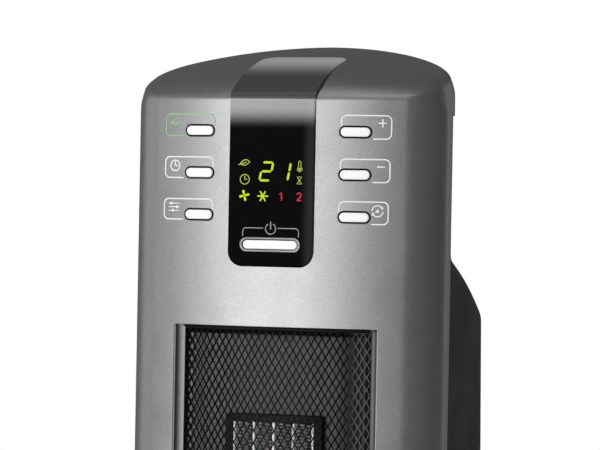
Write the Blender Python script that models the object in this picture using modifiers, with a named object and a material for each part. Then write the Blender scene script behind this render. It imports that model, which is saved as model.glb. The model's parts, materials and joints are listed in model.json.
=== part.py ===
"""A digital ceramic tower heater, as an assembly of separate parts.

Metres, +Z up. The origin is on the floor, on the axis on which the tower swings over its oval foot.
The front looks along -Y. Pieces of the front are placed from a leaning frame, which stands at the
middle of the crease under the head: its X is across, its Y is depth behind the face, and its Z runs
up the face.
"""
from math import atan, cos, exp, hypot, pi, radians, sin, sqrt, tan

import bmesh
import bpy
from mathutils import Matrix, Vector

# Fits shared by all pieces
FIT = 0.0003
OVERRUN = 0.004
WALL = 0.0025
WELD = 0.00001
ROUND_SEGMENTS = 32
PILL_SEGMENTS = 5

# Tower body
CREASE_Z = 0.5815
CREASE_Y = -0.0565
LEAN = radians(3.5)
TOWER_BOTTOM_Z = 0.0345
FACE_RADIUS = 0.370
SHOULDER_START = 0.079
SHOULDER_RADIUS = 0.0254
BAND_DEPTH = 0.006
HEAD_DEPTH = 0.108
HEAD_POWER = 1.7
BODY_BACK_Y = 0.083
BODY_POWER = 5.6
HOUSING_STEP = 0.0012
SLANT_TOP_Z = 0.4835
SLANT_BOTTOM_Z = 0.443
SLANT_EASE = 0.007
PARTING_DROP = 0.0115

# Domed roof of the head
CREST_RISE = 0.0113
CREST_LENGTH = 0.011
ROOF_SLOPE = 0.224
ROOF_RADIUS = 0.980
ARCH_RADIUS = 0.850
ARCH_FADE = 0.020
EDGE_RADIUS = 0.008
ROOF_CENTRE_DEPTH = 0.050
ROOF_RING_SHARES = (0.0, 0.012, 0.035, 0.07, 0.12, 0.18, 0.27, 0.40, 0.56, 0.76)

# Display strip and the tile above it
STRIP_HALF = 0.02725
STRIP_LENGTH = 0.1014
STRIP_CORNER = 0.009
STRIP_PROUD = 0.0059
STRIP_BACK = 0.0015
STRIP_BEVEL = 0.0012
SEAM_DROP = 0.0013
TILE_DEPTH = 0.052
TILE_LIFT = 0.0009
TILE_FADE = 0.006
TILE_THICK = 0.003
TILE_CORNER = 0.006
TILE_STATION_SHARES = (0.0, 0.03, 0.07, 0.13, 0.21, 0.32, 0.46, 0.62, 0.78, 0.885, 0.96, 1.0)

# Buttons
BUTTON_SPREAD = 0.04965
BUTTON_ROW_DROPS = (0.0200, 0.0455, 0.0708)
BUTTON_WIDTH = 0.0181
BUTTON_HEIGHT = 0.0055
BUTTON_PROUD = 0.0009
BUTTON_GAP = 0.0008
BUTTON_EASE = 0.0004
BUTTON_FLANGE = 0.0012
FLANGE_THICK = 0.0012
POWER_DROP = 0.0881
POWER_WIDTH = 0.0345
POWER_HEIGHT = 0.0054
RING_WIDTH = 0.0390
RING_HEIGHT = 0.0088
RING_PROUD = 0.0006

# Grille opening, its frame and its net
OPENING_HALF = 0.0655
OPENING_TOP = 0.1373
OPENING_BOTTOM = 0.4800
JAMB = 0.0060
JAMB_SAG = 0.0008
JAMB_SET_BACK = 0.0003
FRAME_LAP = 0.0030
FRAME_THICK = 0.0022
NET_RADIUS = 0.185
NET_DEPTH = 0.0005
NET_THICK = 0.0010
NET_LAP = 0.0022
NET_COLUMNS = 7
NET_ROWS = 12
NET_STRAND = 0.0012
BOW_STEPS = 8

# Plate and heating element behind the net
PLATE_HALF = 0.0555
PLATE_DEPTH = 0.0105
PLATE_THICK = 0.0012
PLATE_MARGIN = 0.009
ELEMENT_TOP = 0.195
ELEMENT_HEIGHT = 0.200
ELEMENT_DEPTH = 0.0060
BAR_PITCH = 0.0125
BAR_COUNT = 5
BAR_WIDTH = 0.0016
BAR_LENGTH = 0.020
FIN_THICK = 0.0005
FIN_SETBACK = 0.0008
FIN_FOLDS = 18
FRAME_BAR = 0.0045
FRAME_END = 0.0040
CUTOUT_RADIUS = 0.006
CUTOUT_THICK = 0.005

# Crossflow fan and its duct
FAN_Y = 0.024
FAN_BOTTOM_Z = 0.120
FAN_HEIGHT = 0.270
FAN_RADIUS = 0.028
FAN_HUB_RADIUS = 0.007
FAN_DISC = 0.002
FAN_GAP = 0.004
BLADE_COUNT = 18
BLADE_CHORD = 0.0085
BLADE_THICK = 0.0009
BLADE_STAGGER = radians(38)
SHAFT_RADIUS = 0.003
DUCT_WALL = 0.0018
DUCT_PLATE = 0.002
DUCT_GAP = 0.005
DUCT_STEPS = 14
LEG_WIDTH = 0.006
LEG_DEPTH = 0.020
TONGUE_ANGLE = radians(28)
SCROLL_ANGLE = radians(118)
BUSH_RADIUS = 0.008
BUSH_HEIGHT = 0.006
MOTOR_RADIUS = 0.026
MOTOR_HEIGHT = 0.034
MOTOR_CAP = 0.004

# Boards and switches
BOARD_THICK = 0.0016
BOARD_DEPTH = 0.0145
BOARD_HALF = 0.062
BOARD_TOP = 0.006
BOARD_BOTTOM = 0.112
BOSS_RADIUS = 0.0032
BOSS_INSET = 0.005
SWITCH_SIZE = 0.006
SWITCH_GAP = 0.0018
MODULE_HALF = 0.024
MODULE_TOP = 0.012
MODULE_BOTTOM = 0.068
POWER_BOARD_LIFT = 0.008
POWER_BOARD_HALF = 0.045
POWER_BOARD_FRONT = -0.074
POWER_BOARD_BACK = -0.027
RELAY_SIZE = (0.020, 0.016, 0.017)
CHOKE_RADIUS = 0.009
CHOKE_HEIGHT = 0.020
TILT_SIZE = (0.016, 0.020, 0.024)
TILT_PLACE = (0.058, 0.018)

# Back of the housing
INTAKE_HALF = 0.058
INTAKE_LOW_Z = 0.135
INTAKE_HIGH_Z = 0.395
INTAKE_STEPS = 10
SLOT_ROWS = 16
SLOT_HEIGHT = 0.0075
SLOT_RIB = 0.006
SLOT_MARGIN = 0.006
FILTER_LAP = 0.004
FILTER_THICK = 0.0015
FILTER_CELLS = 3
FILTER_ROWS = 7
FILTER_RIB = 0.003
GRIP_HALF = 0.046
GRIP_LOW_Z = 0.514
GRIP_HIGH_Z = 0.542
GRIP_DEPTH = 0.024
GRIP_WALL = 0.002
GRIP_CORNER = 0.006
ROCKER_X = -0.038
ROCKER_Z = 0.078
ROCKER_WIDTH = 0.013
ROCKER_HEIGHT = 0.019
ROCKER_DEPTH = 0.010
ROCKER_TIP = 0.0022
ROCKER_TILT = radians(7)
ROCKER_RIM = 0.0025
ROCKER_RIM_THICK = 0.0018
ROCKER_CAN = 0.016
GLAND_X = 0.038
GLAND_Z = 0.064
GLAND_RADIUS = 0.008
GLAND_BORE = 0.0036
GLAND_LENGTH = 0.014
GLAND_FLANGE = 0.0025
SCREW_X = 0.070
SCREW_LOW_Z = 0.095
SCREW_HIGH_Z = 0.420
SCREW_HEAD_RADIUS = 0.0034
SCREW_HEAD_HEIGHT = 0.0022
SCREW_RADIUS = 0.0017
SCREW_LENGTH = 0.012

# Foot and swivel
FOOT_HALF_WIDTH = 0.130
FOOT_HALF_DEPTH = 0.107
FOOT_POWER = 2.3
FOOT_SEGMENTS = 40
FOOT_TOP_Z = 0.030
PAD_HEIGHT = 0.004
PAD_RADIUS = 0.009
PAD_SHARE = 0.62
FOOT_RING_SHARES = ((1.0, 0.0), (1.0, 0.35), (0.985, 0.56), (0.95, 0.72), (0.90, 0.85), (0.83, 0.95), (0.76, 1.0))
BASE_PLATE = 0.0025
POST_RADIUS = 0.014
POST_BORE = 0.010
SLIP_INNER = 0.066
SLIP_OUTER = 0.076
SLIP_THICK = 0.0026
FLOOR_THICK = 0.005
COLLAR_HEIGHT = 0.006
COLLAR_WALL = 0.0032
CLIP_WALL = 0.006
CLIP_THICK = 0.002
CRANK_Y = 0.040
SWING = radians(30)
PIN_RADIUS = 0.0025
CRANK_RIM = 0.003
CRANK_THICK = 0.003
CRANK_LIFT = 0.0015
SPINDLE_RADIUS = 0.003
SWIVEL_MOTOR_RADIUS = 0.024
SWIVEL_MOTOR_HEIGHT = 0.0125

# Places worked out from the sizes above
TURN = atan(SHOULDER_START / FACE_RADIUS)
SHOULDER_X = SHOULDER_START - SHOULDER_RADIUS * sin(TURN)
SHOULDER_DEPTH = SHOULDER_START ** 2 / (2 * FACE_RADIUS) + SHOULDER_RADIUS * cos(TURN)
HALF_WIDTH = SHOULDER_X + SHOULDER_RADIUS
BAND_END = SHOULDER_DEPTH + BAND_DEPTH
PARTING_Z = CREASE_Z - PARTING_DROP
FLOOR_Z = FOOT_TOP_Z + SLIP_THICK + 2 * FIT
FLOOR_TOP_Z = FLOOR_Z + FLOOR_THICK
COLLAR_TOP_Z = FLOOR_TOP_Z + COLLAR_HEIGHT
BASE_PLATE_TOP_Z = PAD_HEIGHT + BASE_PLATE
PIN_CIRCLE = CRANK_Y * sin(SWING)
CRANK_RADIUS = PIN_CIRCLE + CRANK_RIM
FAN_TOP_Z = FAN_BOTTOM_Z + FAN_HEIGHT
DUCT_RADIUS = FAN_RADIUS + DUCT_GAP
ELEMENT_HALF = BAR_PITCH * (BAR_COUNT - 1) / 2 + BAR_WIDTH / 2 + FIT
ELEMENT_BACK = ELEMENT_DEPTH + BAR_LENGTH


def start_scene():
    """Empty the scene and make the two collections."""
    for obj in list(bpy.data.objects):
        bpy.data.objects.remove(obj, do_unlink=True)
    for name in ("tower_heater", "cutters"):
        group = bpy.data.collections.new(name)
        bpy.context.scene.collection.children.link(group)


def finish(name, colour, roughness, metallic=0.0):
    """A plain material with the colour of the real part."""
    made = bpy.data.materials.get(name)
    if made is None:
        made = bpy.data.materials.new(name)
        made.use_nodes = True
        shader = made.node_tree.nodes["Principled BSDF"]
        shader.inputs["Base Color"].default_value = (*colour, 1.0)
        shader.inputs["Roughness"].default_value = roughness
        shader.inputs["Metallic"].default_value = metallic
        made.diffuse_color = (*colour, 1.0)
    return made


def silver():
    return finish("silver_paint", (0.42, 0.42, 0.43), 0.35, 0.6)


def black_plastic():
    return finish("black_plastic", (0.018, 0.018, 0.019), 0.45)


def black_gloss():
    return finish("black_gloss", (0.008, 0.008, 0.009), 0.08)


def white_plastic():
    return finish("white_plastic", (0.80, 0.80, 0.80), 0.35)


def bright_metal():
    return finish("bright_metal", (0.75, 0.75, 0.76), 0.28, 1.0)


def dark_metal():
    return finish("dark_metal", (0.10, 0.10, 0.105), 0.40, 0.9)


def grey_plastic():
    return finish("grey_plastic", (0.20, 0.20, 0.21), 0.50)


def rubber():
    return finish("rubber", (0.02, 0.02, 0.02), 0.85)


def board_green():
    return finish("board_green", (0.02, 0.12, 0.06), 0.50)


def empty(name, place=(0, 0, 0), turn=(0, 0, 0), parent=None):
    """A named frame that pieces hang from."""
    frame = bpy.data.objects.new(name, None)
    frame.location = place
    frame.rotation_euler = turn
    frame.parent = parent
    bpy.data.collections["tower_heater"].objects.link(frame)
    return frame


def add_object(name, mesh, material=None, parent=None, cutter=False):
    """Put a mesh in the scene, as a piece or as a cutter."""
    obj = bpy.data.objects.new(name, mesh)
    obj.parent = parent
    if cutter:
        obj.hide_render = True
        obj.display_type = "WIRE"
        bpy.data.collections["cutters"].objects.link(obj)
    else:
        mesh.materials.append(material)
        bpy.data.collections["tower_heater"].objects.link(obj)
    return obj


def smooth(obj, angle=radians(32)):
    """Shade a round piece smooth, with its real corners kept sharp."""
    obj.data.shade_smooth()
    obj.data.set_sharp_from_angle(angle=angle)
    return obj


def mesh_from(bm, name):
    """Turn a bmesh into a mesh datablock."""
    mesh = bpy.data.meshes.new(name)
    bm.to_mesh(mesh)
    bm.free()
    return mesh


def skin_mesh(name, rings, closed_rings=True, caps=True, closed_path=False):
    """Loft a skin through rings of points that all have the same count."""
    bm = bmesh.new()
    rows = [[bm.verts.new(point) for point in ring] for ring in rings]
    pairs = list(zip(rows, rows[1:]))
    if closed_path:
        pairs.append((rows[-1], rows[0]))
    count = len(rows[0])
    spans = range(count if closed_rings else count - 1)
    for low, high in pairs:
        for i in spans:
            j = (i + 1) % count
            bm.faces.new((low[i], low[j], high[j], high[i]))
    if caps:
        bm.faces.new(rows[0])
        bm.faces.new(rows[-1])
    bmesh.ops.recalc_face_normals(bm, faces=bm.faces)
    return mesh_from(bm, name)


def block_mesh(name, spans):
    """One box, or several in one mesh, each from its low to its high corner."""
    bm = bmesh.new()
    for low, high in spans:
        low, high = Vector(low), Vector(high)
        made = bmesh.ops.create_cube(bm, size=1.0)
        bmesh.ops.scale(bm, vec=high - low, verts=made["verts"])
        bmesh.ops.translate(bm, vec=(low + high) / 2, verts=made["verts"])
    return mesh_from(bm, name)


def rod_mesh(name, radius, low, high, segments=ROUND_SEGMENTS, along="Z"):
    """A round bar along an axis, from low to high on it."""
    bm = bmesh.new()
    bmesh.ops.create_cone(bm, cap_ends=True, segments=segments, radius1=radius, radius2=radius,
                          depth=high - low)
    bmesh.ops.translate(bm, vec=(0, 0, (low + high) / 2), verts=bm.verts)
    if along == "Y":
        bmesh.ops.rotate(bm, matrix=Matrix.Rotation(-pi / 2, 3, "X"), verts=bm.verts)
    if along == "X":
        bmesh.ops.rotate(bm, matrix=Matrix.Rotation(pi / 2, 3, "Y"), verts=bm.verts)
    return mesh_from(bm, name)


def plate_mesh(name, outlines, low, high, upright=False):
    """A flat outline, with any holes, filled and given its thickness from low to high.

    A lying plate's outline is in X and Y and its thickness along Z. An upright plate's outline is
    in X and Z and its thickness along Y.
    """
    data = bpy.data.curves.new(name + "_outline", "CURVE")
    data.dimensions = "2D"
    data.fill_mode = "BOTH"
    data.extrude = (high - low) / 2
    for outline in outlines:
        spline = data.splines.new("POLY")
        spline.points.add(len(outline) - 1)
        for point, (u, v) in zip(spline.points, outline):
            point.co = (u, v, 0, 1)
        spline.use_cyclic_u = True
    guide = bpy.data.objects.new(name + "_outline", data)
    bpy.context.scene.collection.objects.link(guide)
    bpy.context.view_layer.update()
    flat = guide.evaluated_get(bpy.context.evaluated_depsgraph_get())
    mesh = bpy.data.meshes.new_from_object(flat)
    bpy.data.objects.remove(guide, do_unlink=True)
    bm = bmesh.new()
    bm.from_mesh(mesh)
    bmesh.ops.remove_doubles(bm, verts=bm.verts, dist=WELD)
    bmesh.ops.translate(bm, vec=(0, 0, (low + high) / 2), verts=bm.verts)
    if upright:
        bmesh.ops.rotate(bm, matrix=Matrix.Rotation(pi / 2, 3, "X"), verts=bm.verts)
        bmesh.ops.translate(bm, vec=(0, low + high, 0), verts=bm.verts)
    bmesh.ops.recalc_face_normals(bm, faces=bm.faces)
    return mesh_from(bm, name)


def turned(name, profile, material, parent=None, steps=ROUND_SEGMENTS, loop=False, cutter=False):
    """A turned piece from a profile of radius and height, outer side listed top to bottom."""
    mesh = bpy.data.meshes.new(name)
    edges = [(i, i + 1) for i in range(len(profile) - 1)]
    if loop:
        edges.append((len(profile) - 1, 0))
    mesh.from_pydata([(radius, 0, height) for radius, height in profile], edges, [])
    obj = add_object(name, mesh, material, parent, cutter)
    screw = obj.modifiers.new("turn", "SCREW")
    screw.steps = steps
    screw.render_steps = steps
    screw.use_merge_vertices = True
    screw.merge_threshold = WELD
    return obj


def boolean(obj, other, operation="DIFFERENCE"):
    """Cut a piece with another, or join one to it."""
    step = obj.modifiers.new(other.name, "BOOLEAN")
    step.operation = operation
    step.object = other
    step.solver = "EXACT"
    return obj


def bevelled(obj, width, segments=2, angle=radians(40)):
    """Round the sharp edges of a piece."""
    step = obj.modifiers.new("soft_edges", "BEVEL")
    step.width = width
    step.segments = segments
    step.limit_method = "ANGLE"
    step.angle_limit = angle
    return obj


def hollow(obj, wall):
    """Give an open surface its wall, inwards from its outer side."""
    step = obj.modifiers.new("wall", "SOLIDIFY")
    step.thickness = wall
    step.offset = -1
    step.use_even_offset = True
    return obj


def face_out(mesh, inside):
    """Turn an open surface so that its faces look away from a point inside it."""
    bm = bmesh.new()
    bm.from_mesh(mesh)
    bmesh.ops.recalc_face_normals(bm, faces=bm.faces)
    away = sum((face.calc_center_median() - Vector(inside)).dot(face.normal) for face in bm.faces)
    if away < 0:
        bmesh.ops.reverse_faces(bm, faces=bm.faces)
    bm.to_mesh(mesh)
    bm.free()
    return mesh


def pill(width, height, across=0.0, up=0.0):
    """Outline of a slot with round ends."""
    radius = height / 2
    reach = width / 2 - radius
    points = []
    for side in (1, -1):
        for i in range(PILL_SEGMENTS + 1):
            angle = -pi / 2 + pi * i / PILL_SEGMENTS
            points.append((across + side * (reach + radius * cos(angle)), up + side * radius * sin(angle)))
    return points


def rounded_box_outline(half_width, low, high, radius, steps=4):
    """Outline of a rectangle with round corners, centred across."""
    points = []
    for side, level, begin in ((1, low, -pi / 2), (1, high, 0), (-1, high, pi / 2), (-1, low, pi)):
        inward = radius if level == low else -radius
        for i in range(steps + 1):
            angle = begin + pi / 2 * i / steps
            points.append((side * (half_width - radius) + radius * cos(angle),
                           level + inward + radius * sin(angle)))
    return points


def inset(outline, distance):
    """Move a closed outline inwards by a distance, corner by corner."""
    area = sum(a[0] * b[1] - b[0] * a[1] for a, b in zip(outline, outline[1:] + outline[:1]))
    way = 1 if area > 0 else -1
    moved = []
    for i, (x, y) in enumerate(outline):
        before = Vector(outline[i - 1])
        after = Vector(outline[(i + 1) % len(outline)])
        here = Vector((x, y))
        one = (here - before).normalized()
        two = (after - here).normalized()
        normal = Vector((-(one.y + two.y), one.x + two.x)) * way
        normal.normalize()
        spread = max(normal.dot(Vector((-one.y, one.x)) * way), 0.5)
        moved.append(tuple(here + normal * distance / spread))
    return moved


def face_recess(across):
    """Depth of the front surface behind its middle, at a distance across."""
    across = min(abs(across), HALF_WIDTH)
    if across <= SHOULDER_START:
        return across * across / (2 * FACE_RADIUS)
    return SHOULDER_DEPTH - sqrt(max(SHOULDER_RADIUS ** 2 - (across - SHOULDER_X) ** 2, 0))


def lean_shift(height):
    """How far the leaning front lies from its place at the crease, at a height."""
    return tan(LEAN) * min(height - CREASE_Z, 0)


def front_outline(height, face_steps=7, shoulder_steps=6):
    """The front's section at a height, from the left band over the face to the right band."""
    half = []
    for i in range(1, face_steps + 1):
        across = SHOULDER_START * i / face_steps
        half.append((across, face_recess(across)))
    for i in range(1, shoulder_steps + 1):
        angle = TURN + (pi / 2 - TURN) * i / shoulder_steps
        half.append((SHOULDER_X + SHOULDER_RADIUS * sin(angle), SHOULDER_DEPTH - SHOULDER_RADIUS * cos(angle)))
    half.append((HALF_WIDTH, BAND_END))
    points = [(-x, d) for x, d in reversed(half)] + [(0.0, 0.0)] + half
    shift = CREASE_Y + lean_shift(height)
    return [(x, d + shift) for x, d in points]


def back_share(height):
    """0 at the head's own back, 1 where the housing has its full depth."""
    low, high = SLANT_BOTTOM_Z, SLANT_TOP_Z
    if height >= high + SLANT_EASE:
        return 0.0
    if height <= low - SLANT_EASE:
        return 1.0
    share = min(max((high - height) / (high - low), 0), 1)
    ease = SLANT_EASE / (high - low) / 4
    if abs(height - high) < SLANT_EASE / 2:
        share += ease
    if abs(height - low) < SLANT_EASE / 2:
        share -= ease
    return share


def back_outline(height, steps=22, step_in=0.0):
    """The back's section at a height, from the right band end round to the left one."""
    share = back_share(height)
    start = CREASE_Y + lean_shift(height) + BAND_END
    back = (1 - share) * (CREASE_Y + HEAD_DEPTH) + share * BODY_BACK_Y
    power = (1 - share) * HEAD_POWER + share * BODY_POWER
    points = []
    for i in range(steps + 1):
        angle = pi * i / steps
        x = (HALF_WIDTH - step_in) * abs(cos(angle)) ** (2 / power)
        y = (back - start) * sin(angle) ** (2 / power)
        points.append((x if angle < pi / 2 else -x, start + y))
    return points


def back_y(across, height):
    """Place of the back's outer surface at a distance across and a height."""
    share = back_share(height)
    start = CREASE_Y + lean_shift(height) + BAND_END
    back = (1 - share) * (CREASE_Y + HEAD_DEPTH) + share * BODY_BACK_Y
    power = (1 - share) * HEAD_POWER + share * BODY_POWER
    share_across = min(abs(across) / (HALF_WIDTH - HOUSING_STEP), 1)
    return start + (back - start) * (1 - share_across ** power) ** (1 / power)


def whole_outline(height, step_in=0.0):
    """The closed section of the tower at a height."""
    return front_outline(height) + back_outline(height, step_in=step_in)[1:-1]


def crest(depth):
    """Height of the roof's middle line above the crease, at a depth behind the face."""
    depth = max(depth, 0)
    return CREST_RISE * (1 - exp(-depth / CREST_LENGTH)) + ROOF_SLOPE * depth - depth ** 2 / (2 * ROOF_RADIUS)


def roof_z(x, y):
    """Height of the roof over a point of the plan."""
    depth = max(y - CREASE_Y - face_recess(x), 0)
    arch = x * x / (2 * ARCH_RADIUS) * (1 - exp(-depth / ARCH_FADE))
    return CREASE_Z + crest(depth) - arch


def edge_rounding(y):
    """Radius of the roof's edge at a depth: sharp at the crease, full from the shoulders on."""
    return EDGE_RADIUS * min(max((y - CREASE_Y) / SHOULDER_DEPTH, 0), 1) ** 2


def domed_body(name, bottom, wall):
    """Closed body under the domed roof, drawn in from the outer skin by a wall."""
    outline = whole_outline(CREASE_Z)
    drawn_in = inset(outline, wall) if wall else outline
    centre = Vector((0, CREASE_Y + ROOF_CENTRE_DEPTH))
    rings = []
    for height in (bottom, PARTING_Z):
        ring = whole_outline(height)
        if wall:
            ring = inset(ring, wall)
        rings.append([(x, y, height) for x, y in ring])
    for share in ROOF_RING_SHARES:
        ring = []
        for (_, outer_y), point in zip(outline, drawn_in):
            away = Vector(point) - centre
            place = centre + away * (1 - share)
            radius = edge_rounding(outer_y)
            inward = min(share * away.length, radius)
            bite = radius - sqrt(max(radius ** 2 - (radius - inward) ** 2, 0))
            ring.append((place.x, place.y, roof_z(place.x, place.y) - bite - wall))
        rings.append(ring)
    bm = bmesh.new()
    bm.from_mesh(skin_mesh(name, rings, caps=False))
    open_edges = [edge for edge in bm.edges if edge.is_boundary]
    bottom_edges = [edge for edge in open_edges if edge.verts[0].co.z < PARTING_Z]
    bmesh.ops.contextual_create(bm, geom=bottom_edges)
    rim = [edge for edge in open_edges if edge.verts[0].co.z > PARTING_Z]
    top = bm.verts.new((centre.x, centre.y, roof_z(centre.x, centre.y) - wall))
    for edge in rim:
        bm.faces.new((edge.verts[0], edge.verts[1], top))
    bmesh.ops.recalc_face_normals(bm, faces=bm.faces)
    return mesh_from(bm, name)


def rear_room_mesh():
    """Room behind the front's side bands, from below the tower up to the parting under the head."""
    rings = []
    for height in (TOWER_BOTTOM_Z - 2 * OVERRUN, PARTING_Z + FIT):
        near = CREASE_Y + lean_shift(height) + BAND_END - FIT
        wide, far = HALF_WIDTH + OVERRUN, BODY_BACK_Y + OVERRUN
        rings.append([(-wide, near, height), (wide, near, height), (wide, far, height), (-wide, far, height)])
    return skin_mesh("rear_room", rings)


def front_shell(tower, leaning):
    """Silver front with its shoulders, side bands and domed head, in one moulding."""
    shell = add_object("front_shell", domed_body("front_shell", TOWER_BOTTOM_Z, 0), silver(), tower)
    inside = domed_body("inside", TOWER_BOTTOM_Z - OVERRUN, WALL)
    boolean(shell, add_object("inside_cutter", inside, parent=tower, cutter=True))
    boolean(shell, add_object("rear_room_cutter", rear_room_mesh(), parent=tower, cutter=True))
    for x, up in boss_places():
        start = face_recess(x) + WALL / 2
        boss = rod_mesh("boss", BOSS_RADIUS, start, BOARD_DEPTH - FIT, 12, "Y")
        post = add_object("boss_cutter", boss, parent=leaning, cutter=True)
        post.location = (x, 0, up)
        boolean(shell, post, "UNION")
    for cutter in front_cutters(tower, leaning):
        boolean(shell, cutter)
    return smooth(shell)


def boss_places():
    """Where the control board is screwed to the front."""
    across = BOARD_HALF - BOSS_INSET
    return [(side * across, up) for side in (-1, 1)
            for up in (-BOARD_TOP - BOSS_INSET, -BOARD_BOTTOM + BOSS_INSET)]


def front_cutters(tower, leaning):
    """Openings of the front: grille, display strip, tile and six buttons."""
    deep = face_recess(OPENING_HALF) + WALL + OVERRUN
    opening = block_mesh("opening", [((-OPENING_HALF, -OVERRUN, -OPENING_BOTTOM),
                                      (OPENING_HALF, deep, -OPENING_TOP))])
    yield add_object("opening_cutter", opening, parent=leaning, cutter=True)
    strip = plate_mesh("strip", [strip_outline(FIT, OVERRUN)], -OVERRUN, WALL + OVERRUN, upright=True)
    yield add_object("strip_cutter", strip, parent=leaning, cutter=True)
    half = STRIP_HALF + FIT
    slot_end = CREASE_Y + TILE_DEPTH + TILE_THICK * ROOF_SLOPE + FIT
    outline = rounded_box_outline(half, CREASE_Y - OVERRUN, slot_end, TILE_CORNER + FIT)
    tile = plate_mesh("tile_slot", [outline], CREASE_Z - WALL, CREASE_Z + crest(HEAD_DEPTH) + OVERRUN)
    yield add_object("tile_cutter", tile, parent=tower, cutter=True)
    for side in (-1, 1):
        for row, drop in enumerate(BUTTON_ROW_DROPS):
            hole = pill(BUTTON_WIDTH + 2 * BUTTON_GAP, BUTTON_HEIGHT + 2 * BUTTON_GAP)
            mesh = plate_mesh("button_hole", [hole], -OVERRUN, WALL + OVERRUN / 2, upright=True)
            cutter = add_object("button_hole_cutter", mesh, parent=leaning, cutter=True)
            place_on_face(cutter, side * BUTTON_SPREAD, -drop)
            yield cutter


def place_on_face(obj, across, up):
    """Set an object on the front surface, square to it."""
    obj.location = (across, face_recess(across), up)
    obj.rotation_euler = (0, 0, atan(across / FACE_RADIUS))


def strip_outline(grow=0.0, above=0.0):
    """Outline of the display strip, which ends in two round corners below."""
    half = STRIP_HALF + grow
    radius = STRIP_CORNER + grow
    low = -STRIP_LENGTH - grow
    points = [(half, above - SEAM_DROP - grow), (-half, above - SEAM_DROP - grow)]
    for side, begin in ((-1, pi), (1, 1.5 * pi)):
        for i in range(7):
            angle = begin + pi / 2 * i / 6
            points.append((side * (half - radius) + radius * cos(angle), low + radius + radius * sin(angle)))
    return points


def rear_housing(tower):
    """Black back with its slanted top, air inlet, hand grip and switch openings."""
    heights = [TOWER_BOTTOM_Z, SLANT_BOTTOM_Z - SLANT_EASE, SLANT_BOTTOM_Z, SLANT_BOTTOM_Z + SLANT_EASE,
               SLANT_TOP_Z - SLANT_EASE, SLANT_TOP_Z, SLANT_TOP_Z + SLANT_EASE, PARTING_Z]
    rings = []
    for height in heights:
        ring = [Vector((x, y, height)) for x, y in back_outline(height, step_in=HOUSING_STEP)]
        for end in (ring[0], ring[-1]):
            end.y += FIT
        rings.append(ring)
    mesh = skin_mesh("rear_housing", rings, closed_rings=False, caps=False)
    face_out(mesh, (0, CREASE_Y + HEAD_DEPTH / 2, CREASE_Z / 2))
    housing = smooth(add_object("rear_housing", mesh, black_plastic(), tower))
    hollow(housing, WALL)
    for cutter in back_cutters(tower):
        boolean(housing, cutter)
    return housing


def back_cutters(tower):
    """Openings of the back: air inlet, hand grip, switch, cord inlet and screws."""
    inner = back_y(SCREW_X + SCREW_HEAD_RADIUS, SCREW_LOW_Z) - 2 * WALL - OVERRUN
    outer = BODY_BACK_Y + OVERRUN
    inlet = block_mesh("inlet", [((-INTAKE_HALF, inner - OVERRUN, INTAKE_LOW_Z),
                                  (INTAKE_HALF, outer, INTAKE_HIGH_Z))])
    yield add_object("inlet_cutter", inlet, parent=tower, cutter=True)
    head_back = CREASE_Y + HEAD_DEPTH
    grip = plate_mesh("grip", [rounded_box_outline(GRIP_HALF, GRIP_LOW_Z, GRIP_HIGH_Z, GRIP_CORNER)],
                      head_back - GRIP_DEPTH, head_back + OVERRUN, upright=True)
    yield add_object("grip_cutter", grip, parent=tower, cutter=True)
    switch = block_mesh("switch", [((ROCKER_X - ROCKER_WIDTH / 2 - ROCKER_RIM, inner,
                                     ROCKER_Z - ROCKER_HEIGHT / 2 - ROCKER_RIM),
                                    (ROCKER_X + ROCKER_WIDTH / 2 + ROCKER_RIM, outer,
                                     ROCKER_Z + ROCKER_HEIGHT / 2 + ROCKER_RIM))])
    yield add_object("switch_cutter", switch, parent=tower, cutter=True)
    gland = rod_mesh("gland", GLAND_RADIUS + FIT, inner, outer, 24, "Y")
    hole = add_object("gland_cutter", gland, parent=tower, cutter=True)
    hole.location = (GLAND_X, 0, GLAND_Z)
    yield hole
    for x, z in screw_places():
        rod = rod_mesh("screw_hole", SCREW_RADIUS + FIT, inner, outer, 12, "Y")
        hole = add_object("screw_hole_cutter", rod, parent=tower, cutter=True)
        hole.location = (x, 0, z)
        yield hole


def screw_places():
    """The four screws that hold the back."""
    return [(side * SCREW_X, z) for z in (SCREW_LOW_Z, SCREW_HIGH_Z) for side in (-1, 1)]


def housing_screws(tower):
    """Pan-head screws on the back, seated where its surface lies at their place."""
    for i, (x, z) in enumerate(screw_places()):
        seat = back_y(abs(x) - SCREW_HEAD_RADIUS, z) + FIT
        head, neck = SCREW_HEAD_RADIUS, SCREW_RADIUS
        top = SCREW_HEAD_HEIGHT
        profile = [(0, top), (head * 0.6, top), (head, top * 0.4), (head, 0), (neck, 0), (neck, -SCREW_LENGTH),
                   (0, -SCREW_LENGTH)]
        screw = turned("housing_screw_%d" % (i + 1), profile, dark_metal(), tower, 14)
        screw.location = (x, seat, z)
        screw.rotation_euler = (-pi / 2, 0, 0)


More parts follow.
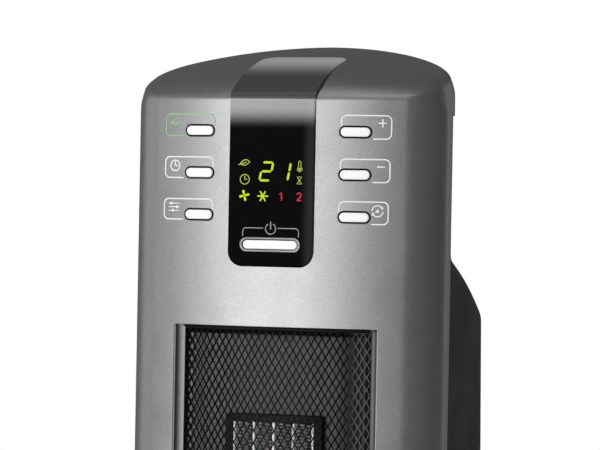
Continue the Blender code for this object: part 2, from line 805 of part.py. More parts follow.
def top_tile(tower):
    """Glossy tile, bent over the crease and along the roof."""
    stations = [(-STRIP_PROUD, -SEAM_DROP + 3 * FIT, pi / 2)]
    for share in TILE_STATION_SHARES:
        depth = TILE_DEPTH * share
        step = TILE_DEPTH * 0.001
        slope = atan((crest(depth + step) - crest(depth)) / step)
        lift = TILE_LIFT + (STRIP_PROUD - TILE_LIFT) * exp(-depth / TILE_FADE)
        stations.append((depth - lift * sin(slope), crest(depth) + lift * cos(slope), slope))
    rings = []
    for depth, rise, slope in stations:
        near_end = max(depth - (TILE_DEPTH - TILE_CORNER), 0)
        half = STRIP_HALF - TILE_CORNER + sqrt(max(TILE_CORNER ** 2 - near_end ** 2, 0))
        out = Vector((0, -sin(slope), cos(slope)))
        upper = Vector((0, CREASE_Y + depth, CREASE_Z + rise))
        lower = upper - out * TILE_THICK
        rings.append([upper + Vector((-half, 0, 0)), upper + Vector((half, 0, 0)),
                      lower + Vector((half, 0, 0)), lower + Vector((-half, 0, 0))])
    tile = add_object("top_tile", skin_mesh("top_tile", rings), black_gloss(), tower)
    return smooth(bevelled(tile, STRIP_BEVEL / 2, 1))


def display_window(leaning):
    """Glossy strip that covers the display and carries the power button."""
    mesh = plate_mesh("display_window", [strip_outline()], -STRIP_PROUD, STRIP_BACK, upright=True)
    window = add_object("display_window", mesh, black_gloss(), leaning)
    bevelled(window, STRIP_BEVEL)
    hole = plate_mesh("ring_hole", [pill(RING_WIDTH + 2 * FIT, RING_HEIGHT + 2 * FIT, up=-POWER_DROP)],
                      -STRIP_PROUD - OVERRUN, STRIP_BACK + OVERRUN, upright=True)
    boolean(window, add_object("ring_hole_cutter", hole, parent=leaning, cutter=True))
    return smooth(window)


def power_ring(leaning):
    """Brushed ring round the power button."""
    outer = pill(RING_WIDTH, RING_HEIGHT, up=-POWER_DROP)
    inner = pill(POWER_WIDTH + 2 * FIT, POWER_HEIGHT + 2 * FIT, up=-POWER_DROP)
    mesh = plate_mesh("power_ring", [outer, inner], -STRIP_PROUD - RING_PROUD, STRIP_BACK, upright=True)
    return smooth(add_object("power_ring", mesh, bright_metal(), leaning))


def button_mesh(name, width, height, front, neck_end, flange):
    """A key cap with round ends, a soft front edge and a flange that keeps it in."""
    levels = [(width - 2 * BUTTON_EASE, height - 2 * BUTTON_EASE, front), (width, height, front + BUTTON_EASE),
              (width, height, neck_end), (width + 2 * flange, height + 2 * flange, neck_end),
              (width + 2 * flange, height + 2 * flange, neck_end + FLANGE_THICK)]
    rings = [[(x, depth, z) for x, z in pill(w, h)] for w, h, depth in levels]
    return skin_mesh(name, rings)


def buttons(leaning):
    """Six keys on the face and the power key on the strip."""
    names = {(-1, 0): "eco_button", (-1, 1): "timer_button", (-1, 2): "mode_button",
             (1, 0): "plus_button", (1, 1): "minus_button", (1, 2): "swing_button"}
    for (side, row), name in names.items():
        reach = BUTTON_GAP + BUTTON_FLANGE
        mesh = button_mesh(name, BUTTON_WIDTH, BUTTON_HEIGHT, -BUTTON_PROUD, WALL + 2 * FIT, reach)
        key = smooth(add_object(name, mesh, white_plastic(), leaning))
        place_on_face(key, side * BUTTON_SPREAD, -BUTTON_ROW_DROPS[row])
    front = -STRIP_PROUD - RING_PROUD
    mesh = button_mesh("power_button", POWER_WIDTH, POWER_HEIGHT, front, STRIP_BACK + 2 * FIT, BUTTON_FLANGE)
    key = smooth(add_object("power_button", mesh, white_plastic(), leaning))
    key.location = (0, 0, -POWER_DROP)


def net_sag(across):
    """Depth of the bowed net behind the middle of the face."""
    return NET_DEPTH + across * across / (2 * NET_RADIUS)


def frame_path():
    """Stations round the grille frame: signs of its corners and shares along its bowed ends."""
    stations = [(i * 2 / BOW_STEPS - 1, 1) for i in range(BOW_STEPS + 1)]
    stations += [(1 - i * 2 / BOW_STEPS, -1) for i in range(BOW_STEPS + 1)]
    return stations


def grille_surround(leaning):
    """Black frame in the opening: curved jambs, a ledge behind the net and a lap behind the shell."""
    middle = (OPENING_TOP + OPENING_BOTTOM) / 2
    half_height = (OPENING_BOTTOM - OPENING_TOP) / 2
    rings = []
    for along, end in frame_path():
        ring = []
        for inward, kind in ((FIT, "front"), (JAMB / 2, "curve"), (JAMB - FIT, "net"), (JAMB - FIT, "ledge"),
                             (JAMB + NET_LAP, "ledge"), (JAMB + NET_LAP, "under"), (-FRAME_LAP, "under"),
                             (-FRAME_LAP, "lap"), (FIT, "lap")):
            x = along * (OPENING_HALF - inward)
            z = -middle + end * (half_height - inward)
            near = face_recess(x) + JAMB_SET_BACK
            net = net_sag(along * (OPENING_HALF - JAMB))
            ledge = net_sag(x) + NET_THICK + 2 * FIT
            lap = face_recess(along * (OPENING_HALF + FRAME_LAP)) + WALL + 2 * FIT
            depth = {"front": near, "curve": (near + net) / 2 + JAMB_SAG, "net": max(net, near), "ledge": ledge,
                     "under": max(ledge, lap) + FRAME_THICK, "lap": lap}[kind]
            ring.append((x, depth, z))
        rings.append(ring)
    mesh = skin_mesh("grille_surround", rings, caps=False, closed_path=True)
    return smooth(add_object("grille_surround", mesh, black_plastic(), leaning))


def grille_mesh(leaning):
    """Bowed net of diamonds, coarse in number and true in outline and bow."""
    half = OPENING_HALF - JAMB
    low = -OPENING_BOTTOM + JAMB
    high = -OPENING_TOP - JAMB
    wide = 2 * half / NET_COLUMNS
    tall = (high - low) / NET_ROWS
    bm = bmesh.new()
    cells = NET_COLUMNS + NET_ROWS + 2
    bmesh.ops.create_grid(bm, x_segments=cells, y_segments=cells, size=cells / 2 / sqrt(2))
    bmesh.ops.rotate(bm, matrix=Matrix.Rotation(pi / 4, 3, "Z"), verts=bm.verts)
    bmesh.ops.scale(bm, vec=(wide, tall, 1), verts=bm.verts)
    bmesh.ops.rotate(bm, matrix=Matrix.Rotation(pi / 2, 3, "X"), verts=bm.verts)
    bmesh.ops.translate(bm, vec=(0, 0, (low + high) / 2), verts=bm.verts)
    for place, normal in (((half, 0, 0), (1, 0, 0)), ((-half, 0, 0), (-1, 0, 0)),
                          ((0, 0, high), (0, 0, 1)), ((0, 0, low), (0, 0, -1))):
        parts = bm.verts[:] + bm.edges[:] + bm.faces[:]
        bmesh.ops.bisect_plane(bm, geom=parts, dist=WELD, plane_co=place, plane_no=normal, clear_outer=True)
    rims = bmesh.ops.inset_individual(bm, faces=bm.faces[:], thickness=NET_STRAND / 2)["faces"]
    inner = [face for face in bm.faces if face not in set(rims)]
    bmesh.ops.delete(bm, geom=inner, context="FACES")
    for vert in bm.verts:
        vert.co.y = net_sag(vert.co.x) + FIT
    if sum(face.normal.y for face in bm.faces) > 0:
        bmesh.ops.reverse_faces(bm, faces=bm.faces)
    net = add_object("grille_mesh", mesh_from(bm, "grille_mesh"), black_plastic(), leaning)
    return hollow(net, NET_THICK)


def baffle_plate(leaning):
    """Grey plate behind the net, with a window for the element."""
    half = ELEMENT_HALF + FRAME_BAR + FIT
    top = -ELEMENT_TOP + FRAME_END + 2 * FIT
    low = -ELEMENT_TOP - ELEMENT_HEIGHT - FRAME_END - 2 * FIT
    outline = [(-PLATE_HALF, -OPENING_BOTTOM + PLATE_MARGIN), (PLATE_HALF, -OPENING_BOTTOM + PLATE_MARGIN),
               (PLATE_HALF, -OPENING_TOP - PLATE_MARGIN), (-PLATE_HALF, -OPENING_TOP - PLATE_MARGIN)]
    window = [(-half, low), (half, low), (half, top), (-half, top)]
    mesh = plate_mesh("baffle_plate", [outline, window], PLATE_DEPTH, PLATE_DEPTH + PLATE_THICK, upright=True)
    return add_object("baffle_plate", mesh, grey_plastic(), leaning)


def element_frame(leaning):
    """Frame round the heating element."""
    inner = ELEMENT_HALF + FIT
    top = -ELEMENT_TOP + FIT
    low = -ELEMENT_TOP - ELEMENT_HEIGHT - FIT
    outer = inner + FRAME_BAR - FIT
    ring = [[(-outer, low - FRAME_END), (outer, low - FRAME_END), (outer, top + FRAME_END),
             (-outer, top + FRAME_END)], [(-inner, low), (inner, low), (inner, top), (-inner, top)]]
    mesh = plate_mesh("element_frame", ring, ELEMENT_DEPTH, ELEMENT_BACK, upright=True)
    return add_object("element_frame", mesh, black_plastic(), leaning)


def element_bars(leaning):
    """Upright bright bars of the element."""
    low = -ELEMENT_TOP - ELEMENT_HEIGHT
    for i in range(BAR_COUNT):
        x = (i - (BAR_COUNT - 1) / 2) * BAR_PITCH
        mesh = block_mesh("element_bar", [((x - BAR_WIDTH / 2, ELEMENT_DEPTH, low),
                                           (x + BAR_WIDTH / 2, ELEMENT_BACK, -ELEMENT_TOP))])
        add_object("element_bar_%d" % (i + 1), mesh, bright_metal(), leaning)


def fin_columns(leaning):
    """Folded fin strips between the bars, each one ribbon from bottom to top."""
    half = (BAR_PITCH - BAR_WIDTH) / 2 - FIT - FIN_THICK
    pitch = (ELEMENT_HEIGHT - 2 * FIN_THICK) / FIN_FOLDS
    low = -ELEMENT_TOP - ELEMENT_HEIGHT + FIN_THICK
    for i in range(BAR_COUNT - 1):
        middle = (i + 0.5 - (BAR_COUNT - 1) / 2) * BAR_PITCH
        near, far = [], []
        for fold in range(2 * FIN_FOLDS + 1):
            x = middle + (half if fold % 2 else -half)
            z = low + pitch * fold / 2
            near.append((x, ELEMENT_DEPTH + FIN_SETBACK, z))
            far.append((x, ELEMENT_BACK - FIN_SETBACK, z))
        mesh = skin_mesh("fin_column", [near, far], closed_rings=False, caps=False)
        column = add_object("fin_column_%d" % (i + 1), mesh, bright_metal(), leaning)
        hollow(column, FIN_THICK).modifiers["wall"].offset = 0


def thermal_cutout(leaning):
    """Round cut-out on the top of the element's frame."""
    top = -ELEMENT_TOP + FRAME_END + 3 * FIT
    middle = ELEMENT_BACK - CUTOUT_RADIUS
    mesh = rod_mesh("thermal_cutout", CUTOUT_RADIUS, top, top + CUTOUT_THICK, 20)
    disc = smooth(add_object("thermal_cutout", mesh, white_plastic(), leaning))
    disc.location = (0, middle, 0)


def fan_outline(radius, begin, end, steps):
    """An arc about the fan's axis; angle 0 is straight back and grows towards -X."""
    points = []
    for i in range(steps + 1):
        angle = begin + (end - begin) * i / steps
        points.append(Vector((-radius * sin(angle), FAN_Y + radius * cos(angle))))
    return points


def duct_wall_mesh(points, low, high):
    """An upright wall along a line of the plan."""
    rings = [[(p[0], p[1], low) for p in points], [(p[0], p[1], high) for p in points]]
    return skin_mesh("duct_wall", rings, closed_rings=False, caps=False)


def fan_duct(tower, leaning):
    """Scroll, tongue and end plates round the fan, on two legs that stand on the tower's floor."""
    top = FAN_TOP_Z + FAN_GAP + DUCT_PLATE
    mouth = ELEMENT_HALF + FRAME_BAR - DUCT_WALL
    low = FAN_BOTTOM_Z - FAN_GAP - DUCT_PLATE
    front_y = CREASE_Y + lean_shift(low)
    half = DUCT_RADIUS + DUCT_WALL
    body = block_mesh("fan_duct", [((-half, front_y, low), (half, FAN_Y + DUCT_RADIUS, low + DUCT_PLATE))])
    duct = add_object("fan_duct", body, grey_plastic(), tower)
    upper = block_mesh("upper_plate", [((-half, front_y, top - DUCT_PLATE), (half, FAN_Y + DUCT_RADIUS, top))])
    boolean(duct, add_object("upper_plate", upper, parent=tower, cutter=True), "UNION")
    scroll = [Vector((-mouth, front_y))] + list(reversed(fan_outline(DUCT_RADIUS, 0, SCROLL_ANGLE, DUCT_STEPS)))
    tongue = [Vector((mouth, front_y))] + fan_outline(DUCT_RADIUS, -pi / 2 - TONGUE_ANGLE, -pi / 2 + TONGUE_ANGLE, 4)
    for name, points in (("scroll", scroll), ("tongue", tongue)):
        mesh = duct_wall_mesh(points, low + DUCT_PLATE / 2, top - DUCT_PLATE / 2)
        wall = add_object(name + "_wall", mesh, parent=tower, cutter=True)
        hollow(wall, DUCT_WALL).modifiers["wall"].offset = 0
        boolean(duct, wall, "UNION")
    ends = sorted((half, half - LEG_WIDTH))
    spans = [((side * ends[0 if side > 0 else 1], FAN_Y, FLOOR_TOP_Z + FIT),
              (side * ends[1 if side > 0 else 0], FAN_Y + LEG_DEPTH, low + DUCT_PLATE / 2)) for side in (-1, 1)]
    boolean(duct, add_object("duct_legs", block_mesh("duct_legs", spans), parent=tower, cutter=True), "UNION")
    room = block_mesh("front_room", [((-HALF_WIDTH, -HALF_WIDTH, -CREASE_Z),
                                      (HALF_WIDTH, ELEMENT_BACK + FIT, HALF_WIDTH))])
    boolean(duct, add_object("front_room_cutter", room, parent=leaning, cutter=True))
    for radius, low_z, high_z in ((SHAFT_RADIUS + FIT, top - 2 * DUCT_PLATE, top + OVERRUN),
                                  (BUSH_RADIUS + FIT, low - OVERRUN, low + 2 * DUCT_PLATE)):
        hole = add_object("shaft_hole_cutter", rod_mesh("shaft_hole", radius, low_z, high_z, 20), parent=tower,
                          cutter=True)
        hole.location = (0, FAN_Y, 0)
        boolean(duct, hole)
    return duct


def blade_mesh(low, high):
    """All blades of the fan, as curved strips round its axis."""
    bm = bmesh.new()
    reach = FAN_RADIUS - BLADE_CHORD / 2 * cos(BLADE_STAGGER) - BLADE_THICK
    for i in range(BLADE_COUNT):
        turn = Matrix.Rotation(2 * pi * i / BLADE_COUNT, 4, "Z")
        rows = []
        for height in (low, high):
            row = []
            for along, off in ((-0.5, 0.0), (0.0, 0.16), (0.5, 0.0)):
                for side in (-1, 1):
                    spot = Vector((along * BLADE_CHORD, off * BLADE_CHORD + side * BLADE_THICK / 2, 0))
                    spot.rotate(Matrix.Rotation(BLADE_STAGGER, 3, "Z"))
                    row.append(turn @ Vector((reach + spot.x, spot.y, height)))
            order = (0, 2, 4, 5, 3, 1)
            rows.append([bm.verts.new(row[k]) for k in order])
        for a in range(6):
            b = (a + 1) % 6
            bm.faces.new((rows[0][a], rows[0][b], rows[1][b], rows[1][a]))
        bm.faces.new(rows[0])
        bm.faces.new(rows[1])
    bmesh.ops.recalc_face_normals(bm, faces=bm.faces)
    return mesh_from(bm, "blades")


def impeller(fan):
    """Long crossflow wheel: blades between end discs, with a hub at each end."""
    low, high = FAN_BOTTOM_Z, FAN_TOP_Z
    hub = FAN_HUB_RADIUS
    bore = SHAFT_RADIUS + FIT
    lower = [(FAN_RADIUS, low + FAN_DISC), (FAN_RADIUS, low), (bore, low), (bore, low + 4 * FAN_DISC),
             (hub, low + 4 * FAN_DISC), (hub, low + FAN_DISC)]
    upper = [(FAN_RADIUS, high), (FAN_RADIUS, high - FAN_DISC), (hub, high - FAN_DISC),
             (hub, high - 4 * FAN_DISC), (bore, high - 4 * FAN_DISC), (bore, high)]
    wheel = turned("impeller", lower, black_plastic(), fan, 24, loop=True)
    end = turned("upper_end", upper, None, fan, 24, loop=True, cutter=True)
    blades = add_object("blades", blade_mesh(low + FAN_DISC / 2, high - FAN_DISC / 2), parent=fan, cutter=True)
    boolean(wheel, blades, "UNION")
    boolean(wheel, end, "UNION")
    return wheel


def fan_parts(tower, fan):
    """Shaft, lower bearing and motor of the fan."""
    bearing_low = FAN_BOTTOM_Z - FAN_GAP - DUCT_PLATE - BUSH_HEIGHT / 2
    motor_low = FAN_TOP_Z + FAN_GAP + DUCT_PLATE + FIT
    shaft = rod_mesh("impeller_shaft", SHAFT_RADIUS, bearing_low + BUSH_HEIGHT / 2, motor_low + MOTOR_HEIGHT / 2, 16)
    smooth(add_object("impeller_shaft", shaft, bright_metal(), fan))
    flange = BUSH_RADIUS + BUSH_HEIGHT / 2
    bore = SHAFT_RADIUS + FIT
    plate = FAN_BOTTOM_Z - FAN_GAP - DUCT_PLATE - FIT
    profile = [(BUSH_RADIUS, bearing_low + BUSH_HEIGHT), (BUSH_RADIUS, plate), (flange, plate),
               (flange, bearing_low), (0, bearing_low), (0, bearing_low + BUSH_HEIGHT / 4),
               (bore, bearing_low + BUSH_HEIGHT / 4), (bore, bearing_low + BUSH_HEIGHT)]
    bearing = turned("lower_bearing", profile, bright_metal(), tower, 20, loop=True)
    bearing.location = (0, FAN_Y, 0)
    top = motor_low + MOTOR_HEIGHT
    bore = SHAFT_RADIUS + FIT
    ease = MOTOR_CAP
    profile = [(0, top), (MOTOR_RADIUS - ease, top), (MOTOR_RADIUS, top - ease), (MOTOR_RADIUS, motor_low),
               (bore, motor_low), (bore, motor_low + MOTOR_HEIGHT / 2 + FIT * 2), (0, motor_low + MOTOR_HEIGHT / 2 + FIT * 2)]
    motor = turned("fan_motor", profile, dark_metal(), tower, 28)
    motor.location = (0, FAN_Y, 0)
    return motor


def control_board(leaning):
    """Board behind the keys, with one switch for each of them."""
    mesh = block_mesh("control_board", [((-BOARD_HALF, BOARD_DEPTH, -BOARD_BOTTOM),
                                         (BOARD_HALF, BOARD_DEPTH + BOARD_THICK, -BOARD_TOP))])
    board = add_object("control_board", mesh, board_green(), leaning)
    spots = [(side * BUTTON_SPREAD, -drop, face_recess(BUTTON_SPREAD) + WALL) for side in (-1, 1)
             for drop in BUTTON_ROW_DROPS]
    spots.append((0, -POWER_DROP, STRIP_BACK))
    spans = []
    for x, z, back in spots:
        front = back + 2 * FIT + FLANGE_THICK + SWITCH_GAP
        spans.append(((x - SWITCH_SIZE / 2, front, z - SWITCH_SIZE / 2),
                      (x + SWITCH_SIZE / 2, BOARD_DEPTH + BOARD_THICK / 2, z + SWITCH_SIZE / 2)))
    switches = add_object("switches", block_mesh("switches", spans), parent=leaning, cutter=True)
    return boolean(board, switches, "UNION")


def display_module(leaning):
    """Numeral display between the strip and the board."""
    mesh = block_mesh("display_module", [((-MODULE_HALF, STRIP_BACK + FIT, -MODULE_BOTTOM),
                                          (MODULE_HALF, BOARD_DEPTH - FIT, -MODULE_TOP))])
    return add_object("display_module", mesh, white_plastic(), leaning)


def tower_floor(tower):
    """Floor of the tower, with its socket for the post and the slot for the crank's pin."""
    limit = HALF_WIDTH - HOUSING_STEP
    section = [(max(min(x, limit), -limit), y) for x, y in whole_outline(FLOOR_TOP_Z, HOUSING_STEP)]
    outline = inset(section, WALL + FIT)
    collar = POST_RADIUS + FIT + COLLAR_WALL
    floor = add_object("tower_floor", plate_mesh("tower_floor", [outline], FLOOR_Z, FLOOR_TOP_Z), black_plastic(),
                       tower)
    rim = rod_mesh("collar", collar, FLOOR_Z + FLOOR_THICK / 2, COLLAR_TOP_Z)
    boolean(floor, add_object("collar", rim, parent=tower, cutter=True), "UNION")
    for x in (-POWER_BOARD_HALF + BOSS_INSET, POWER_BOARD_HALF - BOSS_INSET):
        for y in (POWER_BOARD_FRONT + BOSS_INSET, POWER_BOARD_BACK - BOSS_INSET):
            rod = rod_mesh("standoff", BOSS_RADIUS, FLOOR_Z + FLOOR_THICK / 2, FLOOR_TOP_Z + POWER_BOARD_LIFT, 12)
            post = add_object("standoff", rod, parent=tower, cutter=True)
            post.location = (x, y, 0)
            boolean(floor, post, "UNION")
    hole = rod_mesh("post_hole", POST_RADIUS + FIT, FLOOR_Z - OVERRUN, COLLAR_TOP_Z + OVERRUN)
    boolean(floor, add_object("post_hole", hole, parent=tower, cutter=True))
    wide = PIN_RADIUS + FIT
    slot = pill(2 * (PIN_CIRCLE + wide), 2 * wide)
    mesh = plate_mesh("pin_slot", [[(y, x + CRANK_Y) for x, y in slot]], FLOOR_Z - OVERRUN, FLOOR_TOP_Z + OVERRUN)
    boolean(floor, add_object("pin_slot", mesh, parent=tower, cutter=True))
    return floor


def floor_parts(tower):
    """Power board on its standoffs, and the tip-over switch."""
    low = FLOOR_TOP_Z + POWER_BOARD_LIFT + FIT
    top = low + BOARD_THICK
    mesh = block_mesh("power_board", [((-POWER_BOARD_HALF, POWER_BOARD_FRONT, low),
                                       (POWER_BOARD_HALF, POWER_BOARD_BACK, top))])
    board = add_object("power_board", mesh, board_green(), tower)
    wide, deep, tall = RELAY_SIZE
    y = (POWER_BOARD_FRONT + POWER_BOARD_BACK) / 2
    spans = [((x - wide / 2, y - deep / 2, low + BOARD_THICK / 2), (x + wide / 2, y + deep / 2, top + tall))
             for x in (-wide * 1.3, 0)]
    boolean(board, add_object("relays", block_mesh("relays", spans), parent=tower, cutter=True), "UNION")
    rod = rod_mesh("choke", CHOKE_RADIUS, low + BOARD_THICK / 2, top + CHOKE_HEIGHT, 18)
    choke = add_object("choke", rod, parent=tower, cutter=True)
    choke.location = (wide * 1.3, y, 0)
    boolean(board, choke, "UNION")
    wide, deep, tall = TILT_SIZE
    x, y = TILT_PLACE
    low = FLOOR_TOP_Z + FIT
    mesh = block_mesh("tilt_switch", [((x - wide / 2, y - deep / 2, low), (x + wide / 2, y + deep / 2, low + tall))])
    bevelled(add_object("tilt_switch", mesh, black_plastic(), tower), BUTTON_EASE * 2, 1)


def bowed_panel(name, half, low, high, depth, thick, material, tower):
    """A panel that follows the bowed back, from a depth behind its outer surface."""
    middle_z = (INTAKE_LOW_Z + INTAKE_HIGH_Z) / 2
    rings = []
    for z in (low, high):
        ring = []
        for i in range(INTAKE_STEPS + 1):
            x = half * (2 * i / INTAKE_STEPS - 1)
            ring.append((x, back_y(x, middle_z) - depth, z))
        rings.append(ring)
    mesh = face_out(skin_mesh(name, rings, closed_rings=False, caps=False), (0, 0, middle_z))
    return hollow(add_object(name, mesh, material, tower), thick)


def intake_grille(tower):
    """Slotted panel over the air inlet."""
    half = INTAKE_HALF - FIT
    panel = bowed_panel("intake_grille", half, INTAKE_LOW_Z + FIT, INTAKE_HIGH_Z - FIT, 0, WALL, black_plastic(),
                        tower)
    pitch = (INTAKE_HIGH_Z - INTAKE_LOW_Z - 2 * SLOT_MARGIN) / SLOT_ROWS
    spans = []
    for row in range(SLOT_ROWS):
        z = INTAKE_LOW_Z + SLOT_MARGIN + pitch * (row + 0.5)
        for side in (-1, 1):
            ends = sorted((side * SLOT_RIB / 2, side * (half - SLOT_MARGIN)))
            spans.append(((ends[0], BODY_BACK_Y - BODY_BACK_Y / 4, z - SLOT_HEIGHT / 2),
                          (ends[1], BODY_BACK_Y + OVERRUN, z + SLOT_HEIGHT / 2)))
    slots = add_object("slots_cutter", block_mesh("slots", spans), parent=tower, cutter=True)
    return boolean(panel, slots)


def dust_filter(tower):
    """Filter frame behind the inlet, with coarse cells."""
    half = INTAKE_HALF + FILTER_LAP
    low, high = INTAKE_LOW_Z - FILTER_LAP, INTAKE_HIGH_Z + FILTER_LAP
    panel = bowed_panel("dust_filter", half, low, high, WALL + 3 * FIT, FILTER_THICK, grey_plastic(), tower)
    wide = 2 * (half - FILTER_LAP) / FILTER_CELLS
    tall = (high - low - 2 * FILTER_LAP) / FILTER_ROWS
    spans = []
    for column in range(FILTER_CELLS):
        for row in range(FILTER_ROWS):
            x = -half + FILTER_LAP + wide * column + FILTER_RIB / 2
            z = low + FILTER_LAP + tall * row + FILTER_RIB / 2
            spans.append(((x, BODY_BACK_Y - BODY_BACK_Y / 4, z),
                          (x + wide - FILTER_RIB, BODY_BACK_Y + OVERRUN, z + tall - FILTER_RIB)))
    cells = add_object("filter_cells_cutter", block_mesh("filter_cells", spans), parent=tower, cutter=True)
    return boolean(panel, cells)


def grip_cup(tower):
    """Cup of the hand grip, let into the back of the head."""
    back = CREASE_Y + HEAD_DEPTH
    front = back - GRIP_DEPTH
    half = GRIP_HALF - FIT
    low, high = GRIP_LOW_Z + FIT, GRIP_HIGH_Z - FIT
    outer = rounded_box_outline(half, low, high, GRIP_CORNER)
    cup = add_object("grip_cup", plate_mesh("grip_cup", [outer], front, back, upright=True), black_plastic(), tower)
    room = rounded_box_outline(half - GRIP_WALL, low + GRIP_WALL, high - GRIP_WALL, GRIP_CORNER - GRIP_WALL)
    mesh = plate_mesh("grip_room", [room], front + GRIP_WALL, back + OVERRUN, upright=True)
    boolean(cup, add_object("grip_room_cutter", mesh, parent=tower, cutter=True))
    rings = []
    for z in (low - OVERRUN, high + OVERRUN):
        curve = [(half * 1.2 * (i / 8 - 1), z) for i in range(17)]
        near = [(x, back_y(x, z) - FIT, z) for x, z in curve]
        rings.append(near + [(half * 1.2, back + 2 * OVERRUN, z), (-half * 1.2, back + 2 * OVERRUN, z)])
    trim = add_object("grip_trim_cutter", skin_mesh("grip_trim", rings), parent=tower, cutter=True)
    return smooth(boolean(cup, trim))


def mains_switch(tower):
    """Rocker switch at the back: bezel with its can, and the rocker on its pin."""
    seat = back_y(abs(ROCKER_X) - ROCKER_WIDTH / 2 - ROCKER_RIM, ROCKER_Z)
    half_w = ROCKER_WIDTH / 2 + ROCKER_RIM
    half_h = ROCKER_HEIGHT / 2 + ROCKER_RIM
    grow = ROCKER_RIM / 2
    bezel = block_mesh("rocker_bezel", [((ROCKER_X - half_w - grow, seat + FIT, ROCKER_Z - half_h - grow),
                                         (ROCKER_X + half_w + grow, seat + FIT + ROCKER_RIM_THICK, ROCKER_Z + half_h + grow))])
    frame = add_object("rocker_bezel", bezel, black_plastic(), tower)
    can = block_mesh("switch_can", [((ROCKER_X - half_w + FIT, seat - ROCKER_CAN, ROCKER_Z - half_h + FIT),
                                     (ROCKER_X + half_w - FIT, seat + ROCKER_RIM_THICK / 2, ROCKER_Z + half_h - FIT))])
    boolean(frame, add_object("switch_can", can, parent=tower, cutter=True), "UNION")
    pocket_w = ROCKER_WIDTH / 2 + FIT
    pocket_h = ROCKER_HEIGHT / 2 + ROCKER_TIP / 2
    pocket = block_mesh("rocker_pocket", [((ROCKER_X - pocket_w, seat - ROCKER_DEPTH, ROCKER_Z - pocket_h),
                                           (ROCKER_X + pocket_w, seat + OVERRUN, ROCKER_Z + pocket_h))])
    boolean(frame, add_object("rocker_pocket", pocket, parent=tower, cutter=True))
    pin_y = seat - ROCKER_TIP
    half = ROCKER_HEIGHT / 2
    outline = [(-half, ROCKER_TIP * 2), (-half * 0.5, ROCKER_TIP * 1.4), (0, ROCKER_TIP * 1.15),
               (half * 0.5, ROCKER_TIP * 1.4), (half, ROCKER_TIP * 2), (half, 0), (half * 0.45, -ROCKER_TIP),
               (0, -ROCKER_TIP * 1.8), (-half * 0.45, -ROCKER_TIP), (-half, 0)]
    hub = empty("rocker_axis", (ROCKER_X, pin_y, ROCKER_Z), parent=tower)
    off = Matrix.Rotation(-ROCKER_TILT, 3, "X")
    rings = [[off @ Vector((x, y, z)) for z, y in outline] for x in (-ROCKER_WIDTH / 2, ROCKER_WIDTH / 2)]
    return add_object("mains_rocker", skin_mesh("mains_rocker", rings), black_gloss(), hub)


def cord_gland(tower):
    """Bushing of the cord inlet, set in the back."""
    seat = back_y(GLAND_X - GLAND_RADIUS, GLAND_Z) + FIT
    flange = GLAND_RADIUS + GLAND_FLANGE
    profile = [(GLAND_RADIUS * 0.7, GLAND_LENGTH), (GLAND_RADIUS, GLAND_FLANGE), (flange, GLAND_FLANGE), (flange, 0),
               (GLAND_RADIUS, 0), (GLAND_RADIUS, -2 * WALL), (GLAND_BORE, -2 * WALL), (GLAND_BORE, GLAND_LENGTH)]
    gland = turned("cord_gland", profile, rubber(), tower, 20, loop=True)
    gland.location = (GLAND_X, seat, GLAND_Z)
    gland.rotation_euler = (-pi / 2, 0, 0)
    return gland


def foot_outline(share, grow=0.0):
    """Oval section of the foot."""
    points = []
    for i in range(FOOT_SEGMENTS):
        angle = 2 * pi * i / FOOT_SEGMENTS
        power = 2 / FOOT_POWER
        x = (FOOT_HALF_WIDTH * share + grow) * abs(cos(angle)) ** power
        y = (FOOT_HALF_DEPTH * share + grow) * abs(sin(angle)) ** power
        points.append((x if cos(angle) >= 0 else -x, y if sin(angle) >= 0 else -y))
    return points


def foot_cover():
    """Oval cover of the foot, domed and open below."""
    tall = FOOT_TOP_Z - PAD_HEIGHT
    rings = [[(x, y, PAD_HEIGHT + tall * rise) for x, y in foot_outline(share)] for share, rise in FOOT_RING_SHARES]
    bm = bmesh.new()
    bm.from_mesh(skin_mesh("foot_cover", rings, caps=False))
    rim = [edge for edge in bm.edges if edge.is_boundary and edge.verts[0].co.z > (FOOT_TOP_Z + PAD_HEIGHT) / 2]
    bmesh.ops.contextual_create(bm, geom=rim)
    mesh = face_out(mesh_from(bm, "base_cover"), (0, 0, 0))
    cover = hollow(smooth(add_object("base_cover", mesh, black_plastic())), WALL)
    post = rod_mesh("post_room", POST_RADIUS + FIT, 0, FOOT_TOP_Z + OVERRUN)
    boolean(cover, add_object("post_room_cutter", post, cutter=True))
    room = rod_mesh("crank_room", PIN_CIRCLE + PIN_RADIUS + 2 * FIT, FOOT_TOP_Z - 2 * WALL, FOOT_TOP_Z + OVERRUN)
    hole = add_object("crank_room_cutter", room, cutter=True)
    hole.location = (0, CRANK_Y, 0)
    return boolean(cover, hole)


